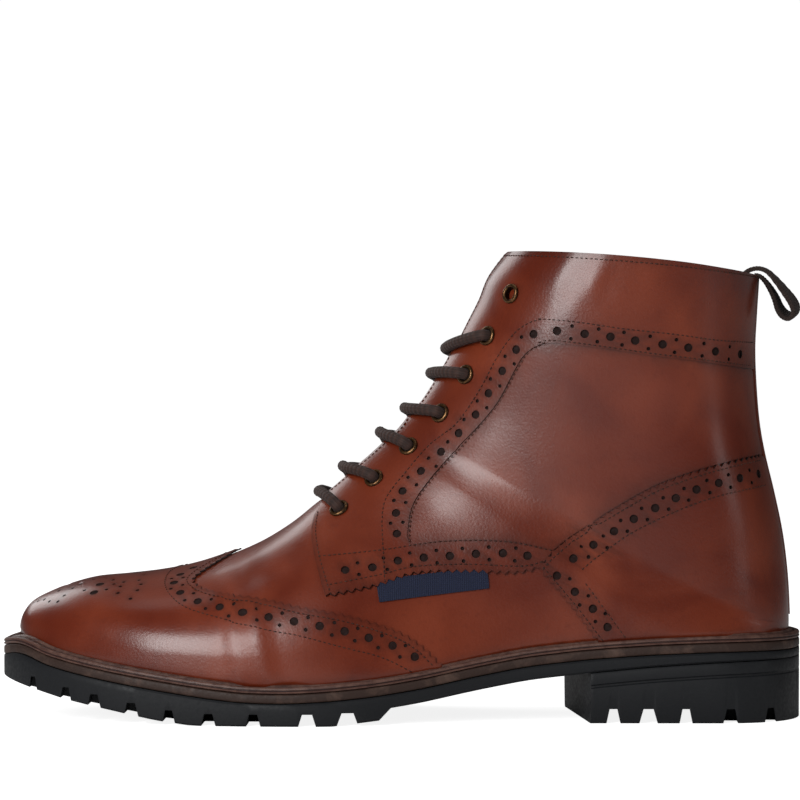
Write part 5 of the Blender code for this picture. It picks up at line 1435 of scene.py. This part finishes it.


# Discs of painted shade in the punched holes, laid over the leather that shows through them
def holeShadeTree():
    tree = bpy.data.node_groups.new("holeShadeDiscs", "GeometryNodeTree")
    socketOf(tree, "Spots", "Geometry")
    socketOf(tree, "Margin", "Float", "INPUT", .0003)
    socketOf(tree, "Shade Material", "Material")
    socketOf(tree, "Shade Discs", "Geometry", "OUTPUT")
    given, result = tree.nodes.new("NodeGroupInput"), tree.nodes.new("NodeGroupOutput")
    disc = put(tree, "GeometryNodeMeshCircle", {"Vertices": 10, "Radius": 1.0}, fill_type="TRIANGLE_FAN")
    up = put(tree, "GeometryNodeInputNamedAttribute", {"Name": "facing"}, data_type="FLOAT_VECTOR")
    reach = put(tree, "GeometryNodeInputNamedAttribute", {"Name": "reach"}, data_type="FLOAT")
    scale = put(tree, "ShaderNodeMath", {0: reach.outputs[0], 1: given.outputs["Margin"]}, operation="ADD")
    turned = put(tree, "FunctionNodeAlignRotationToVector", {"Vector": up.outputs[0]}, axis="Z")
    placed = put(tree, "GeometryNodeInstanceOnPoints", {"Points": given.outputs["Spots"], "Instance": disc.outputs[0],
                                                        "Rotation": turned.outputs[0], "Scale": scale.outputs[0]})
    real = put(tree, "GeometryNodeRealizeInstances", {0: placed.outputs[0]})
    painted = put(tree, "GeometryNodeSetMaterial", {"Geometry": real.outputs[0], "Material": given.outputs["Shade Material"]})
    tree.links.new(painted.outputs[0], result.inputs[0])
    return tree


def guideMesh(name, points, edges, facing, reach=None):
    mesh = bpy.data.meshes.new(name)
    mesh.from_pydata([tuple(p) for p in points], edges, [])
    layer = mesh.attributes.new("facing", "FLOAT_VECTOR", "POINT")
    layer.data.foreach_set("vector", np.asarray(facing, np.float32).ravel())
    if reach is not None:
        layer = mesh.attributes.new("reach", "FLOAT", "POINT")
        layer.data.foreach_set("value", np.asarray(reach, np.float32))
    piece = bpy.data.objects.new(name, mesh)
    bpy.context.scene.collection.objects.link(piece)
    return piece


def runTree(piece, tree, values):
    modifier = piece.modifiers.new("repeat", "NODES")
    modifier.node_group = tree
    for socket in tree.interface.items_tree:
        if socket.in_out == "INPUT" and socket.name in values:
            modifier[socket.identifier] = values[socket.name]
    return plainCopy(piece, piece.name)


def seamGuide(name, runs):
    points, facing, edges = [], [], []
    for run, lift in runs:
        spots, normal = onBoot(run, np.full(len(run), lift + .00005))
        start = len(points)
        points += list(spots)
        facing += list(normal)
        edges += [(start + i, start + i + 1) for i in range(len(run) - 1)]
    return guideMesh(name, points, edges, facing)


stitches = runTree(seamGuide("upperStitches", seamRuns), stitchTree(), {"Thread Material": threadBrown})
dress(stitches, None)
# One disc of painted shade in each punched hole
shadeDiscPoints, shadeDiscFacing, shadeDiscReach = [], [], []
for place, lift, radius in holeSpots:
    spot, normal = onBoot([place], [lift])
    shadeDiscPoints.append(spot[0])
    shadeDiscFacing.append(normal[0])
    shadeDiscReach.append(radius)
holeShadePieces = runTree(guideMesh("holeShadePieces", shadeDiscPoints, [], shadeDiscFacing, shadeDiscReach), holeShadeTree(),
                     {"Shade Material": holeShadeColour})
dress(holeShadePieces, None)
weltLoop, weltAway = soleLoop()
weltSpots = weltLoop - weltAway * .0022
weltHeight = weltTop(weltLoop[:, 0] / boot["length"] + .5) - .00040
weltPoints = np.column_stack([weltSpots, weltHeight])
weltGuide = guideMesh("weltStitches", weltPoints, [(i, (i + 1) % len(weltPoints)) for i in range(len(weltPoints))],
                      np.tile((0, 0, 1.0), (len(weltPoints), 1)))
weltStitches = runTree(weltGuide, bpy.data.node_groups["stitchRow"],
                       {"Pitch": .0030, "Stitch Length": .0025, "Thread": .0007, "Thread Material": threadBrown})
dress(weltStitches, None)
print("stitches", len(stitches.data.polygons), "floors", len(holeShadePieces.data.polygons))


# Floor, light and camera
floor = makeObject("paleFloor", [(-20, -20, 0), (20, -20, 0), (20, 20, 0), (-20, 20, 0)], [(0, 1, 2, 3)], [], sharp=None)
floorPaint, floorTree, floorShader = startMaterial("paleFloor")
seen = floorTree.nodes.new("ShaderNodeLightPath").outputs["Is Camera Ray"]
join(floorTree, floorShader, Base_Color=(.72, .72, .72, 1), Roughness=.9, Emission_Color=(1, 1, 1, 1),
     Emission_Strength=calc(floorTree, "MULTIPLY", seen, .86))
floor.data.materials.append(floorPaint)
world = bpy.data.worlds.new("studio")
bpy.context.scene.world = world
world.use_nodes = True
backdrop = world.node_tree.nodes["Background"]
backdrop.inputs[0].default_value = (1, 1, 1, 1)
rays = world.node_tree.nodes.new("ShaderNodeLightPath").outputs
softened = calc(world.node_tree, "SUBTRACT", .24, calc(world.node_tree, "MULTIPLY", rays["Is Glossy Ray"], .19))
world.node_tree.links.new(calc(world.node_tree, "ADD", softened, calc(world.node_tree, "MULTIPLY", rays["Is Camera Ray"], .78)),
                          backdrop.inputs[1])


def softbox(name, place, aim, size, power):
    light = bpy.data.lights.new(name, "AREA")
    light.shape = "RECTANGLE"
    light.size, light.size_y, light.energy = size[0], size[1], power
    lamp = bpy.data.objects.new(name, light)
    lamp.location = place
    lamp.rotation_euler = (Vector(aim) - Vector(place)).to_track_quat("-Z", "Y").to_euler()
    bpy.context.scene.collection.objects.link(lamp)


softbox("keyLight", (-.60, -1.15, .55), (-.02, 0, .08), (.50, .70), 11.5)
softbox("topLight", (.05, .10, 1.4), (0, 0, .05), (1.3, .6), 2.0)
softbox("sideLight", (1.25, -.65, .45), (.05, 0, .08), (.30, .7), 1.0)
softbox("backLight", (-.9, 1.1, .8), (0, 0, .08), (.7, .7), 4)
camera = bpy.data.objects.new("photoCamera", bpy.data.cameras.new("photoCamera"))
bpy.context.scene.collection.objects.link(camera)
camera.location = (.0366, -1.4991, .1393)
aim = Vector((0, 0, .1223)) - camera.location
camera.rotation_euler = aim.to_track_quat("-Z", "Y").to_euler()
camera.data.lens = 173.4
camera.data.clip_start, camera.data.clip_end = .05, 100
bpy.context.scene.camera = camera
print("floor, lights and camera ready")
